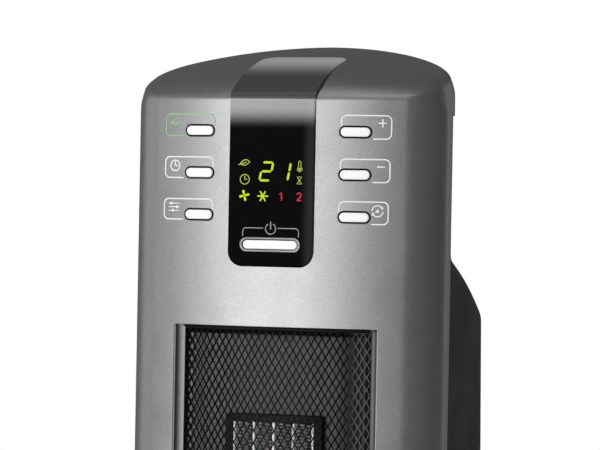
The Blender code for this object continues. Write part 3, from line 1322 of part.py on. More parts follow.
def foot_parts():
    """Bottom plate, rubber feet, post, slip ring and retaining clip."""
    grow = -WALL - FIT
    add_object("base_plate", plate_mesh("base_plate", [foot_outline(1.0, grow)], PAD_HEIGHT, BASE_PLATE_TOP_Z),
               dark_metal())
    for i, (side, end) in enumerate(((-1, -1), (1, -1), (1, 1), (-1, 1))):
        profile = [(0, PAD_HEIGHT - FIT), (PAD_RADIUS, PAD_HEIGHT - FIT), (PAD_RADIUS * 0.9, 0), (0, 0)]
        pad = turned("rubber_foot_%d" % (i + 1), profile, rubber(), steps=20)
        pad.location = (side * FOOT_HALF_WIDTH * PAD_SHARE, end * FOOT_HALF_DEPTH * PAD_SHARE, 0)
    low, high = BASE_PLATE_TOP_Z + FIT, COLLAR_TOP_Z + FIT + CLIP_THICK
    post = [(POST_RADIUS, high), (POST_RADIUS, low), (POST_BORE, low), (POST_BORE, high)]
    smooth(turned("swivel_post", post, grey_plastic(), loop=True))
    low, high = FOOT_TOP_Z + FIT, FOOT_TOP_Z + FIT + SLIP_THICK
    ring = [(SLIP_OUTER, high), (SLIP_OUTER, low), (SLIP_INNER, low), (SLIP_INNER, high)]
    turned("slip_ring", ring, white_plastic(), steps=40, loop=True)
    low, high = COLLAR_TOP_Z + FIT, COLLAR_TOP_Z + FIT + CLIP_THICK
    inner = POST_RADIUS + FIT
    clip = [(inner + CLIP_WALL, high), (inner + CLIP_WALL, low), (inner, low), (inner, high)]
    turned("post_clip", clip, bright_metal(), loop=True)


def swivel_drive():
    """Geared motor in the foot, and the crank whose pin swings the tower."""
    low = BASE_PLATE_TOP_Z + FIT
    top = low + SWIVEL_MOTOR_HEIGHT
    disc_low = top + CRANK_LIFT
    disc_top = disc_low + CRANK_THICK
    ease = SWIVEL_MOTOR_HEIGHT / 8
    profile = [(0, disc_top), (SPINDLE_RADIUS, disc_top), (SPINDLE_RADIUS, top), (SWIVEL_MOTOR_RADIUS - ease, top),
               (SWIVEL_MOTOR_RADIUS, top - ease), (SWIVEL_MOTOR_RADIUS, low), (0, low)]
    motor = turned("swivel_motor", profile, bright_metal())
    motor.location = (0, CRANK_Y, 0)
    axis = empty("crank_axis", (0, CRANK_Y, 0))
    bore = SPINDLE_RADIUS + FIT
    disc = [(CRANK_RADIUS, disc_top), (CRANK_RADIUS, disc_low), (bore, disc_low), (bore, disc_top)]
    crank = turned("crank", disc, white_plastic(), axis, loop=True)
    rod = rod_mesh("crank_pin", PIN_RADIUS, disc_low + CRANK_THICK / 2, FLOOR_Z - 2 * FIT, 16)
    pin = add_object("crank_pin", rod, parent=axis, cutter=True)
    pin.location = (0, PIN_CIRCLE, 0)
    return boolean(crank, pin, "UNION")


def build():
    """Make every piece of the heater."""
    start_scene()
    tower = empty("swivel_axis")
    leaning = empty("leaning_face", (0, CREASE_Y, CREASE_Z), (-LEAN, 0, 0), tower)
    fan = empty("fan_axis", (0, FAN_Y, 0), parent=tower)
    foot_cover()
    foot_parts()
    swivel_drive()
    front_shell(tower, leaning)
    rear_housing(tower)
    housing_screws(tower)
    top_tile(tower)
    display_window(leaning)
    power_ring(leaning)
    buttons(leaning)
    grille_surround(leaning)
    grille_mesh(leaning)
    baffle_plate(leaning)
    element_frame(leaning)
    element_bars(leaning)
    fin_columns(leaning)
    thermal_cutout(leaning)
    fan_duct(tower, leaning)
    impeller(fan)
    fan_parts(tower, fan)
    control_board(leaning)
    display_module(leaning)
    tower_floor(tower)
    floor_parts(tower)
    intake_grille(tower)
    dust_filter(tower)
    grip_cup(tower)
    mains_switch(tower)
    cord_gland(tower)


build()
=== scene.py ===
# %% [markdown]
# # A digital tower heater, dressed
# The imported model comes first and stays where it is: it is the frame on which every finer piece is built.
# The plain solids have the right sizes, but their curves are made of flat facets. So this lesson makes each
# curved piece again with finer curves, in the same place, and then gives every piece its finish.

# %% Load the frame
import json
from math import atan, cos, exp, pi, radians, sin, sqrt, tan

import bmesh
import bpy
from mathutils import Matrix, Vector


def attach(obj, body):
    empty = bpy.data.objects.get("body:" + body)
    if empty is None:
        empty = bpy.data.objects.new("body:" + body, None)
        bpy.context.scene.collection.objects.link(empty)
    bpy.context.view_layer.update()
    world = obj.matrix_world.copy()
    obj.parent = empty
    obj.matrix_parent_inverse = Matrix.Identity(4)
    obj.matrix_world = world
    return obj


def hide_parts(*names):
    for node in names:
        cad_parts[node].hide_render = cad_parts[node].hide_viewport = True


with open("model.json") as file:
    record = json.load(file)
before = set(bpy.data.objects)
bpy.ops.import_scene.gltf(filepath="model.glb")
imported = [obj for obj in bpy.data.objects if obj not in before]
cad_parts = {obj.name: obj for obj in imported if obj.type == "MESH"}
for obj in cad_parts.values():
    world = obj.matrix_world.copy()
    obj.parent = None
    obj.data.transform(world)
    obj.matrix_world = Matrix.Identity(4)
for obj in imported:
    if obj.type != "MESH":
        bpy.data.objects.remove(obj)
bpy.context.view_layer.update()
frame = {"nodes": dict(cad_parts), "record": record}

# %% [markdown]
# ## The camera
# The photograph was taken from a little to the right of the heater and from slightly above, with a long
# lens, which keeps upright lines nearly parallel. The place was worked out from the outline of the front,
# the buttons and the grille, and is counted from the middle of the crease under the head. A camera object
# looks along its own -Z, so its matrix is filled column by column.

# %% Camera at the photograph's angle
TURN_RIGHT, LOOK_DOWN, ROLL = radians(19.99), radians(3.68), radians(-0.13)
CREASE_Y, CREASE_Z = -0.0565, 0.5815
OFFSET = Vector((-0.01435, 0.07627, 2.09809))
LENS, SENSOR, FAR_CLIP = 210.2, 36, 60
right = Vector((cos(TURN_RIGHT), sin(TURN_RIGHT), 0))
ahead = Vector((-sin(TURN_RIGHT) * cos(LOOK_DOWN), cos(TURN_RIGHT) * cos(LOOK_DOWN), -sin(LOOK_DOWN)))
up = right.cross(ahead)
side = cos(ROLL) * right + sin(ROLL) * up
top = cos(ROLL) * up - sin(ROLL) * right
crease_middle = Vector((0, CREASE_Y, CREASE_Z))
camera_place = crease_middle - (OFFSET.x * side + OFFSET.y * top + OFFSET.z * ahead)
camera_data = bpy.data.cameras.new("camera")
camera_data.lens = LENS
camera_data.sensor_width = SENSOR
camera_data.clip_end = FAR_CLIP
camera = bpy.data.objects.new("camera", camera_data)
camera.matrix_world = Matrix((side, top, -ahead)).transposed().to_4x4()
camera.location = camera_place
bpy.context.scene.collection.objects.link(camera)
bpy.context.scene.camera = camera
print("camera stands at", [round(v, 3) for v in camera_place])

# %% [markdown]
# ## Finishes
# Every finish here is grown from noise on the object's own coordinates, so nothing has to be unwrapped. A
# material is a tree of nodes. Short helpers make the nodes that come back again and again: they take a
# coordinate, turn a stretch of values into another, or mix two colours.

# %% Helpers for nodes
def object_place(tree):
    """The socket that tells where on the object a point lies."""
    found = tree.nodes.get("Texture Coordinate") or tree.nodes.new("ShaderNodeTexCoord")
    return found.outputs["Object"]


def mapped(tree, value, start, end, ease="LINEAR", low=0.0, high=1.0):
    """Turn a value from start to end into one from low to high."""
    step = tree.nodes.new("ShaderNodeMapRange")
    step.interpolation_type = ease
    for socket, number in (("From Min", start), ("From Max", end), ("To Min", low), ("To Max", high)):
        step.inputs[socket].default_value = number
    tree.links.new(value, step.inputs["Value"])
    return step.outputs["Result"]


def coordinate(tree, axis):
    """The coordinate of a point along one axis of the object."""
    split = tree.nodes.new("ShaderNodeSeparateXYZ")
    tree.links.new(object_place(tree), split.inputs["Vector"])
    return split.outputs[axis]


def coloured(tree, kind="MIX"):
    """A node that mixes two colours, linked to the base colour after what was linked there before."""
    mix = tree.nodes.new("ShaderNodeMix")
    mix.data_type = "RGBA"
    mix.blend_type = kind
    base = tree.nodes["Principled BSDF"].inputs["Base Color"]
    if base.is_linked:
        tree.links.new(base.links[0].from_socket, mix.inputs["A"])
    tree.links.new(mix.outputs["Result"], base)
    return mix


print("helpers for nodes are ready")

# %% [markdown]
# In a finish, a fine noise mottles the colour and lifts the surface, and a coarse one varies the gloss, as
# on real mouldings. One function builds that small tree, and each finish differs only in its numbers.

# %% Finish helper
FINE_SPREAD, COARSE_SPREAD, COARSER, RELIEF = (0.35, 0.65), (0.3, 0.7), 40, 0.0002


def finish(name, dark, light, grain, gloss, lift, stretch=(1, 1, 1), metallic=0.0, specular=0.5, glow=0.0):
    """A finish that varies from a dark to a light tone with a grain in steps per metre."""
    made = bpy.data.materials.new(name)
    made.use_nodes = True
    tree = made.node_tree
    shader = tree.nodes["Principled BSDF"]
    scale = tree.nodes.new("ShaderNodeMapping")
    scale.inputs["Scale"].default_value = stretch
    tree.links.new(object_place(tree), scale.inputs["Vector"])
    fine, coarse = (tree.nodes.new("ShaderNodeTexNoise") for layer in range(2))
    for noise, steps, detail in ((fine, grain, 3), (coarse, grain / COARSER, 4)):
        noise.inputs["Scale"].default_value = steps
        noise.inputs["Detail"].default_value = detail
        tree.links.new(scale.outputs["Vector"], noise.inputs["Vector"])
    tone = coloured(tree)
    tone.inputs["A"].default_value = (*dark, 1)
    tone.inputs["B"].default_value = (*light, 1)
    tree.links.new(mapped(tree, fine.outputs["Fac"], *FINE_SPREAD), tone.inputs["Factor"])
    shine = mapped(tree, coarse.outputs["Fac"], *COARSE_SPREAD, low=gloss[0], high=gloss[1])
    tree.links.new(shine, shader.inputs["Roughness"])
    bump = tree.nodes.new("ShaderNodeBump")
    bump.inputs["Strength"].default_value = lift
    bump.inputs["Distance"].default_value = RELIEF
    tree.links.new(fine.outputs["Fac"], bump.inputs["Height"])
    tree.links.new(bump.outputs["Normal"], shader.inputs["Normal"])
    shader.inputs["Metallic"].default_value = metallic
    shader.inputs["Specular IOR Level"].default_value = specular
    shader.inputs["Emission Color"].default_value = (1, 1, 1, 1)
    shader.inputs["Emission Strength"].default_value = glow
    return made


def grey(level):
    """A nearly neutral tone, very slightly cool."""
    return (level, level, level * 1.02)


def mixed_in(material, axis, start, end, tone, ease="SMOOTHSTEP", kind="MIX"):
    """Mix a tone into a finish from one place to another along an axis, in metres; each use here paints light
    or shade.
    """
    tree = material.node_tree
    mix = coloured(tree, kind)
    mix.inputs["B"].default_value = (*tone, 1)
    tree.links.new(mapped(tree, coordinate(tree, axis), start, end, ease), mix.inputs["Factor"])


print("finish helper ready, relief", 1000 * RELIEF, "mm")

# %% [markdown]
# The front is sprayed with a silver lacquer: tiny flakes of aluminium in a clear binder. Most of its light
# comes back as from metal, which makes the broad pale band down the middle and the dark shoulders, and the
# rest scatters. The black mouldings have a fine spark-eroded grain, the strip is smoked acrylic, the mains
# rocker is polished, and the grille is black-coated steel.

# %% The heater's finishes
silver_lacquer = finish("silver_lacquer", grey(0.27), grey(0.37), 1900, (0.31, 0.37), 0.05, metallic=0.75)
jamb_lacquer_painted_shade = finish("jamb_lacquer_painted_shade", grey(0.72), grey(0.88), 1900, (0.45, 0.55), 0.05, specular=0.05)
black_moulding = finish("black_moulding", grey(0.007), grey(0.011), 1500, (0.38, 0.48), 0.25, specular=0.2)
smoked_acrylic = finish("smoked_acrylic", grey(0.0014), grey(0.0022), 500, (0.05, 0.08), 0.01, specular=0.01)
gloss_tile = finish("gloss_tile", grey(0.078), grey(0.090), 500, (0.10, 0.14), 0.01, specular=0.15)
rocker_gloss = finish("rocker_gloss", grey(0.010), grey(0.014), 700, (0.12, 0.18), 0.02)
# The white keys glow a little though no lamp is in them: painted light that lifts their white.
key_white_painted_glow = finish("key_white_painted_glow", grey(0.86), grey(0.92), 900, (0.25, 0.35), 0.02, glow=0.30)
warm_white = finish("warm_white", (0.70, 0.69, 0.65), (0.76, 0.75, 0.71), 900, (0.35, 0.45), 0.03)
brushed_ring = finish("brushed_ring", grey(0.08), grey(0.15), 900, (0.22, 0.34), 0.12, stretch=(0.05, 1, 1),
                      metallic=1.0)
bare_steel = finish("bare_steel", grey(0.50), grey(0.62), 700, (0.25, 0.40), 0.05, stretch=(1, 1, 0.1),
                    metallic=1.0)
fin_aluminium = finish("fin_aluminium", grey(0.88), grey(0.96), 900, (0.25, 0.35), 0.05, metallic=0.2)
coated_net = finish("coated_net", grey(0.002), grey(0.004), 1200, (0.20, 0.30), 0.05, specular=0.08)
zinc_plate = finish("zinc_plate", grey(0.085), grey(0.12), 260, (0.40, 0.55), 0.05, metallic=0.35)
dark_steel = finish("dark_steel", grey(0.05), grey(0.09), 700, (0.35, 0.50), 0.08, metallic=0.8)
grey_moulding = finish("grey_moulding", grey(0.15), grey(0.19), 1200, (0.50, 0.60), 0.20)
soft_rubber = finish("soft_rubber", grey(0.012), grey(0.018), 900, (0.75, 0.90), 0.35)
green_board = finish("green_board", (0.010, 0.070, 0.035), (0.020, 0.110, 0.055), 420, (0.35, 0.50), 0.10)
print("finishes:", len(bpy.data.materials))

# %% [markdown]
# The pieces that stay as they are, mostly inside the tower, only get a finish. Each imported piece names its
# slot in the record, so one table from slot to finish is enough. Only the mains rocker is blacker than its
# slot's other pieces.

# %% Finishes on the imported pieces
finish_of_slot = {
    "silver_paint": silver_lacquer, "black_plastic": black_moulding, "black_gloss": gloss_tile,
    "white_plastic": warm_white, "bright_metal": bare_steel, "dark_metal": dark_steel,
    "grey_plastic": grey_moulding, "rubber": soft_rubber, "board_green": green_board}
slot_of_node = {part["node"]: part["material_slot"] for part in frame["record"]["subparts"]}
for name, obj in frame["nodes"].items():
    obj.data.materials.clear()
    obj.data.materials.append(finish_of_slot[slot_of_node[name]])
frame["nodes"]["mains_rocker"].data.materials[0] = rocker_gloss
print("finished packed pieces:", len(slot_of_node))

# %% [markdown]
# ## The form of the front
# The face is a shallow curve across, like a slice of a wide drum, and turns over two shoulders into narrow
# side bands. It leans back by a few degrees. All the pieces on it are placed in a leaning frame that stands
# at the middle of the crease under the head: x runs across, y into the heater and z up the face.

# %% Sizes of the front
LEAN, TOWER_BOTTOM_Z, PARTING_DROP = radians(3.5), 0.0345, 0.0115
PARTING_Z = CREASE_Z - PARTING_DROP
FACE_RADIUS, SHOULDER_START, SHOULDER_RADIUS, BAND_DEPTH = 0.370, 0.079, 0.0254, 0.006
SHOULDER_TURN = atan(SHOULDER_START / FACE_RADIUS)
SHOULDER_X = SHOULDER_START - SHOULDER_RADIUS * sin(SHOULDER_TURN)
SHOULDER_DEPTH = SHOULDER_START ** 2 / (2 * FACE_RADIUS) + SHOULDER_RADIUS * cos(SHOULDER_TURN)
HALF_WIDTH = SHOULDER_X + SHOULDER_RADIUS
BAND_END = SHOULDER_DEPTH + BAND_DEPTH
WALL = 0.0025
LEANING = Matrix.Translation(crease_middle) @ Matrix.Rotation(-LEAN, 4, "X")


def face_recess(across):
    """Depth of the front behind its middle line."""
    across = min(abs(across), HALF_WIDTH)
    if across <= SHOULDER_START:
        return across * across / (2 * FACE_RADIUS)
    return SHOULDER_DEPTH - sqrt(max(SHOULDER_RADIUS ** 2 - (across - SHOULDER_X) ** 2, 0))


def on_face(across, rise, lift=0.0):
    """A point of the face, or one lifted off it."""
    angle = atan(across / FACE_RADIUS)
    return LEANING @ Vector((across + lift * sin(angle), face_recess(across) - lift * cos(angle), rise))


def lean_shift(height):
    """How far forward the leaning front lies at a height."""
    return tan(LEAN) * min(height - CREASE_Z, 0)


print("front is", round(2000 * HALF_WIDTH, 1), "mm wide")

# %% [markdown]
# ## Bending flat grids
# Most of the heater's skins are sheets. Blender makes a flat grid in one call, and each corner of it can
# then be moved to its place on the real sheet by a formula. A sheet that closes on itself is welded along
# its seam. Sheets are checked to face outwards, because a wall grows inwards from the face later.

# %% Helpers for sheets
WELD, HEART, SHARP_ANGLE = 1e-6, (0, 0, 0.3), 35


def bent_grid(across, along, place, closed=False):
    """A grid of across by along cells, whose corner (i, j) is moved to place(i, j)."""
    sheet = bmesh.new()
    bmesh.ops.create_grid(sheet, x_segments=across, y_segments=along, size=0.5)
    for vert in sheet.verts:
        i = round((vert.co.x + 0.5) * across)
        j = round((vert.co.y + 0.5) * along)
        vert.co = place(i % across if closed else i, j)
    if closed:
        bmesh.ops.remove_doubles(sheet, verts=sheet.verts, dist=WELD)
    return sheet


def join(sheet, other):
    """Add one bmesh to another."""
    mesh = bpy.data.meshes.new("shape")
    other.to_mesh(mesh)
    other.free()
    sheet.from_mesh(mesh)
    bpy.data.meshes.remove(mesh)


def faced_out(sheet, inside=HEART):
    """Turn all the faces away from a point, or from the middle of the tower."""
    bmesh.ops.recalc_face_normals(sheet, faces=sheet.faces)
    if sum((face.calc_center_median() - Vector(inside)).dot(face.normal) for face in sheet.faces) < 0:
        bmesh.ops.reverse_faces(sheet, faces=sheet.faces)
    return sheet


def piece(name, sheet, material, body, slot, *nodes):
    """Make an object of a bmesh, with its finish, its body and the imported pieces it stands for."""
    mesh = bpy.data.meshes.new(name)
    sheet.to_mesh(mesh)
    sheet.free()
    mesh.materials.append(material)
    mesh.shade_smooth()
    mesh.set_sharp_from_angle(angle=radians(SHARP_ANGLE))
    obj = bpy.data.objects.new(name, mesh)
    bpy.context.scene.collection.objects.link(obj)
    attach(obj, body)
    if nodes:
        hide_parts(*nodes)
    return obj


def walled(obj, wall, offset=-1.0, even=True):
    """Give a sheet its wall thickness."""
    step = obj.modifiers.new("wall", "SOLIDIFY")
    step.thickness = wall
    step.offset = offset
    step.use_even_offset = even
    return obj


def eased(obj, width, segments=3, angle=SHARP_ANGLE):
    """Round the sharp edges of a piece."""
    step = obj.modifiers.new("eased", "BEVEL")
    step.width = width
    step.segments = segments
    step.limit_method = "ANGLE"
    step.angle_limit = radians(angle)
    step.harden_normals = True
    return obj


print("edges sharper than", SHARP_ANGLE, "degrees stay sharp")

# %% [markdown]
# Openings are cut as a sheet-metal worker would: two cuts across and two along free a patch, the patch comes
# out, and the rim is closed in again up to the real outline of the hole. In Blender that is bisect_plane
# four times, delete, and bridge_loops between the square rim and a ring of the outline's shape.

# %% Helper for openings
RIM = 0.0008


def open_up(sheet, outline, surface, margin=RIM):
    """Cut an opening with a flat outline into a sheet. The surface tells how a flat point is placed on it and
    flattened again, which faces lie on it, and which way is up along it."""
    place, flatten, wanted, upward = surface
    outline = spaced(outline)
    low = [min(point[k] for point in outline) - margin for k in (0, 1)]
    high = [max(point[k] for point in outline) + margin for k in (0, 1)]

    def touched():
        found = []
        for face in sheet.faces:
            flat = [flatten(vert.co) for vert in face.verts]
            if wanted(face) and all(min(p[k] for p in flat) < high[k] and max(p[k] for p in flat) > low[k]
                                    for k in (0, 1)):
                found.append(face)
        return found

    for k, level in ((0, low[0]), (0, high[0]), (1, low[1]), (1, high[1])):
        faces = touched()
        edges, verts = {e for f in faces for e in f.edges}, {v for f in faces for v in f.verts}
        spot, normal = (place(0, level), upward) if k else (place(level, 0), Vector((1, 0, 0)))
        bmesh.ops.bisect_plane(sheet, geom=faces + list(edges) + list(verts), dist=WELD / 10, plane_co=spot,
                               plane_no=normal)
    patch = [face for face in touched()
             if all(low[k] < flatten(face.calc_center_median())[k] < high[k] for k in (0, 1))]
    bmesh.ops.delete(sheet, geom=patch, context="FACES")
    slack = margin / 50
    rim = [edge for edge in sheet.edges if edge.is_boundary and wanted(edge.link_faces[0])
           and all(low[k] - slack < flatten(vert.co)[k] < high[k] + slack
                   for vert in edge.verts for k in (0, 1))]
    ring = bmesh.ops.create_circle(sheet, segments=len(outline), radius=1)["verts"]
    for vert, (a, b) in zip(ring, outline):
        vert.co = place(a, b)
    ring_edges = list({edge for vert in ring for edge in vert.link_edges})
    bmesh.ops.bridge_loops(sheet, edges=rim + ring_edges)


print("openings are cut with a rim of", 1000 * RIM, "mm")

# %% [markdown]
# The outlines of the holes and of many pieces are lists of flat points. Long straight stretches get points
# too, so that a sheet that is bridged to them bends evenly.

# %% Helpers for outlines
def spaced(points, spacing=0.003, closed=True):
    """The outline with more points on its long straight stretches."""
    finer = []
    for here, there in zip(points, points[1:] + points[:1] if closed else points[1:]):
        a, b = Vector(here), Vector(there)
        count = max(1, round((b - a).length / spacing))
        finer += [tuple(a.lerp(b, k / count)) for k in range(count)]
    return finer if closed else finer + [points[-1]]


def round_box(half, low, high, radius, steps=6, parts=(1, 1)):
    """Outline of a rectangle with round corners, anticlockwise; parts divide its upright and level sides."""
    corners = []
    for way, level, begin in ((1, low, -pi / 2), (1, high, 0), (-1, high, pi / 2), (-1, low, pi)):
        inward = radius if level == low else -radius
        angles = [begin + pi / 2 * i / steps for i in range(steps + 1)]
        centre_x, centre_z = way * (half - radius), level + inward
        corners.append([(centre_x + radius * cos(a), centre_z + radius * sin(a)) for a in angles])
    points = []
    for k, corner in enumerate(corners):
        end, start, count = Vector(corner[-1]), Vector(corners[(k + 1) % 4][0]), parts[k % 2]
        points += corner + [tuple(end.lerp(start, n / count)) for n in range(1, count)]
    return points


def pill(width, height, across=0.0, rise=0.0, steps=14):
    """Outline of a slot with round ends, anticlockwise."""
    radius, reach = height / 2, (width - height) / 2
    points = []
    for way in (1, -1):
        for i in range(steps + 1):
            angle = -pi / 2 + pi * i / steps
            points.append((across + way * (reach + radius * cos(angle)), rise + way * radius * sin(angle)))
    return points


print("a pill has", len(pill(2, 1)), "points")

# %% [markdown]
# ## The silver front
# The front, its side bands and the domed head are one moulding. It can be lofted from sections: below the
# parting there is only the front's open section, and above it the section closes round the back of the head.
# The roof is a formula: a soft step up from the crease, a slope that bows down, and a slight fall to the
# sides.

# %% Sections of the head and the roof
HEAD_DEPTH, HEAD_POWER, BODY_BACK_Y, BODY_POWER = 0.108, 1.7, 0.083, 5.6
SLANT_TOP_Z, SLANT_BOTTOM_Z, SLANT_EASE, HOUSING_STEP = 0.4835, 0.443, 0.003, 0.0012
ROOF_SHARES = (0, .003, .008, .015, .025, .037, .052, .07, .09, .115, .145, .18, .22, .27, .33, .40, .48, .57,
               .67, .78, .89, 1)
ROOF_MIDDLE_DEPTH = 0.050
ROOF_CENTRE = Vector((0, CREASE_Y + ROOF_MIDDLE_DEPTH))
FRONT_STEPS, BACK_STEPS, FACE_SHARE, SHOULDER_SHARE = 100, 120, 0.6, 0.95
STEP_RISE, STEP_LENGTH, ROOF_SLOPE, ROOF_BOW = 0.0113, 0.011, 0.224, 0.980
FALL_RADIUS, FALL_LENGTH = 0.850, 0.020


def front_section(i):
    """Point i of the front's section, from the left band's end over the face to the right one."""
    way, share = (-1 if i < FRONT_STEPS else 1), abs(i - FRONT_STEPS) / FRONT_STEPS
    if share <= FACE_SHARE:
        across = SHOULDER_START * share / FACE_SHARE
        return way * across, face_recess(across)
    if share <= SHOULDER_SHARE:
        turned_by = (share - FACE_SHARE) / (SHOULDER_SHARE - FACE_SHARE)
        angle = SHOULDER_TURN + (pi / 2 - SHOULDER_TURN) * turned_by
        across = SHOULDER_X + SHOULDER_RADIUS * sin(angle)
        return way * across, SHOULDER_DEPTH - SHOULDER_RADIUS * cos(angle)
    return way * HALF_WIDTH, SHOULDER_DEPTH + BAND_DEPTH * (share - SHOULDER_SHARE) / (1 - SHOULDER_SHARE)


def back_share(height):
    """0 at the head's back and 1 at the full depth below, with both bends of the slant eased."""
    tall = SLANT_TOP_Z - SLANT_BOTTOM_Z
    ease = SLANT_EASE / tall

    def ramp(t):
        return 0 if t <= -ease else t if t >= ease else (t + ease) ** 2 / (4 * ease)

    steep = (SLANT_TOP_Z - height) / tall
    return ramp(steep) - ramp(steep - 1)


def back_form(height):
    """Where the back's section starts, how far back it reaches, and its power, at a height."""
    share = back_share(height)
    reach = (1 - share) * (CREASE_Y + HEAD_DEPTH) + share * BODY_BACK_Y
    return CREASE_Y + lean_shift(height) + BAND_END, reach, (1 - share) * HEAD_POWER + share * BODY_POWER


def back_section(share_round, height, step_in=0.0):
    """Point of the back's section, from the right band's end round to the left one."""
    start, reach, power = back_form(height)
    angle = pi * share_round
    x = (HALF_WIDTH - step_in) * abs(cos(angle)) ** (2 / power)
    return (x if angle < pi / 2 else -x), start + (reach - start) * sin(angle) ** (2 / power)


def back_y(across, height):
    """Depth of the back's outer surface at a place."""
    start, reach, power = back_form(height)
    share_across = min(abs(across) / (HALF_WIDTH - HOUSING_STEP), 1)
    return start + (reach - start) * (1 - share_across ** power) ** (1 / power)


def crest(depth):
    """Rise of the roof's middle line behind the crease."""
    depth = max(depth, 0)
    return STEP_RISE * (1 - exp(-depth / STEP_LENGTH)) + ROOF_SLOPE * depth - depth ** 2 / (2 * ROOF_BOW)


def roof_z(x, y):
    """Height of the roof."""
    depth = max(y - CREASE_Y - face_recess(x), 0)
    return CREASE_Z + crest(depth) - x * x / (2 * FALL_RADIUS) * (1 - exp(-depth / FALL_LENGTH))


roof_line = [roof_z(0, CREASE_Y + HEAD_DEPTH * k / 100) for k in range(101)]
print("roof rises to", round(1000 * max(roof_line), 1), "mm")

# %% [markdown]
# Two bent grids with matching columns are welded into one skin, one for the face below the parting and one
# for the head. The crease is a short curve at the roof's edge, which rounds off wider towards the shoulders
# and the back. The roof's rings close in on a point over the middle, dense at the edge, where the surface
# turns fast.

# %% Skin of the front
def head_ring(height):
    """Closed section at a height."""
    shift = CREASE_Y + lean_shift(height)
    front = [(x, depth + shift) for x, depth in map(front_section, range(2 * FRONT_STEPS + 1))]
    return front + [back_section(j / BACK_STEPS, height) for j in range(1, BACK_STEPS)]


low_ring, high_ring = head_ring(PARTING_Z), head_ring(CREASE_Z)
BAND_ROWS, EASE_ROWS, CREASE_EASE, FRONT_ROWS, ROOF_EDGE, SKIN_WELD = 3, 6, 0.0026, 24, 0.008, 1e-5


def roof_point(i, share):
    """Point i of the roof's ring, drawn in from the outline by a share."""
    x, y = high_ring[i]
    away = Vector((x, y)) - ROOF_CENTRE
    spot = ROOF_CENTRE + away * (1 - share)
    radius = ROOF_EDGE * min(max((y - CREASE_Y) / SHOULDER_DEPTH, 0), 1) ** 2
    inward = min(share * away.length, radius)
    bite = radius - sqrt(max(radius ** 2 - (radius - inward) ** 2, 0))
    return Vector((spot.x, spot.y, roof_z(spot.x, spot.y) - bite))


def head_place(i, j):
    """Corner of the head's grid: up the band, round the crease, and over the roof to its middle."""
    low, crease_point = Vector((*low_ring[i], PARTING_Z)), roof_point(i, 0)
    first = CREASE_EASE / (Vector(high_ring[i]) - ROOF_CENTRE).length
    below = crease_point.lerp(low, CREASE_EASE / (crease_point.z - PARTING_Z))
    if j < BAND_ROWS:
        return low.lerp(below, j / BAND_ROWS)
    if j < BAND_ROWS + EASE_ROWS:
        t = (j - BAND_ROWS) / EASE_ROWS
        return (1 - t) ** 2 * below + 2 * t * (1 - t) * crease_point + t * t * roof_point(i, first)
    return roof_point(i, first + (1 - first) * ROOF_SHARES[j - BAND_ROWS - EASE_ROWS])


def front_place(i, j):
    """Corner of the grid below the parting."""
    height = TOWER_BOTTOM_Z + (PARTING_Z - TOWER_BOTTOM_Z) * j / FRONT_ROWS
    x, depth = front_section(i)
    return Vector((x, CREASE_Y + lean_shift(height) + depth, height))


skin = bent_grid(len(high_ring), BAND_ROWS + EASE_ROWS + len(ROOF_SHARES) - 1, head_place, closed=True)
join(skin, bent_grid(2 * FRONT_STEPS, FRONT_ROWS, front_place))
bmesh.ops.remove_doubles(skin, verts=skin.verts, dist=SKIN_WELD)
print("skin:", len(skin.faces), "faces")

# %% [markdown]
# The lacquer is sprayed on the outside only, so the cut edges and the inside stay black like the moulding.
# The grille opening has barely rounded corners. Each key sits in a slot with round ends that is a little
# larger than the key, which makes the thin dark line round every key.

# %% Openings of the front
OPENING_HALF, OPENING_TOP, OPENING_BOTTOM = 0.0655, 0.1373, 0.4800
BUTTON_SPREAD, BUTTON_DROPS = 0.04965, (0.0200, 0.0455, 0.0708)
BUTTON_WIDTH, BUTTON_HEIGHT, BUTTON_GAP = 0.0181, 0.0055, 0.0011
OPENING_CORNER, GRILLE_RIM, CUT_EASE = 0.0010, 0.0006, 0.00015


def flat_front(point):
    """Across and up on the leaning face."""
    local = LEANING.inverted() @ point
    return local.x, local.z


def front_side(face):
    """True for faces of the front."""
    return face.calc_center_median().y < CREASE_Y + SHOULDER_DEPTH


FRONT = on_face, flat_front, front_side, LEANING.to_3x3() @ Vector((0, 0, 1))
grille_outline = round_box(OPENING_HALF, -OPENING_BOTTOM, -OPENING_TOP, OPENING_CORNER)
open_up(skin, grille_outline, FRONT, GRILLE_RIM)
for way in (-1, 1):
    for drop in BUTTON_DROPS:
        slot = pill(BUTTON_WIDTH + 2 * BUTTON_GAP, BUTTON_HEIGHT + 2 * BUTTON_GAP, way * BUTTON_SPREAD, -drop)
        open_up(skin, slot, FRONT)
faced_out(skin)
front_shell = piece("silver_front", skin, silver_lacquer, "tower", "silver_paint", "front_shell")
walled(front_shell, WALL)
front_shell.data.materials.append(black_moulding)
front_shell.modifiers["wall"].material_offset = 1
front_shell.modifiers["wall"].material_offset_rim = 1
eased(front_shell, CUT_EASE, 2)
print("openings cut: 1 grille, 6 keys")

# %% [markdown]
# ## The black back
# The back is a second moulding that slides in behind the side bands. It slants in under the head, so that
# the head stands out behind like a brow. It is one bent grid too, with close rows where the slant turns. It
# has openings for the air inlet, the hand grip and the mains switch.

# %% Skin of the back
INTAKE_HALF, INTAKE_LOW_Z, INTAKE_HIGH_Z = 0.058, 0.135, 0.395
GRIP_HALF, GRIP_LOW_Z, GRIP_HIGH_Z = 0.046, 0.514, 0.542
ROCKER_X, ROCKER_Z = -0.038, 0.078
ROCKER_HALF, ROCKER_REACH, MOULDED_EASE = 0.0082, 0.0112, 0.0004
INTAKE_CORNER, GRIP_CORNER, ROCKER_CORNER = 0.002, 0.006, 0.001
BACK_COLUMNS, BODY_ROW, SLANT_ROW, SLANT_FOOT_Z = 160, 0.0201, 0.002, 0.434
heights = [TOWER_BOTTOM_Z + BODY_ROW * k for k in range(20)]
heights += [SLANT_FOOT_Z + SLANT_ROW * k for k in range(30)] + [0.502, 0.520, 0.540, 0.556, PARTING_Z]


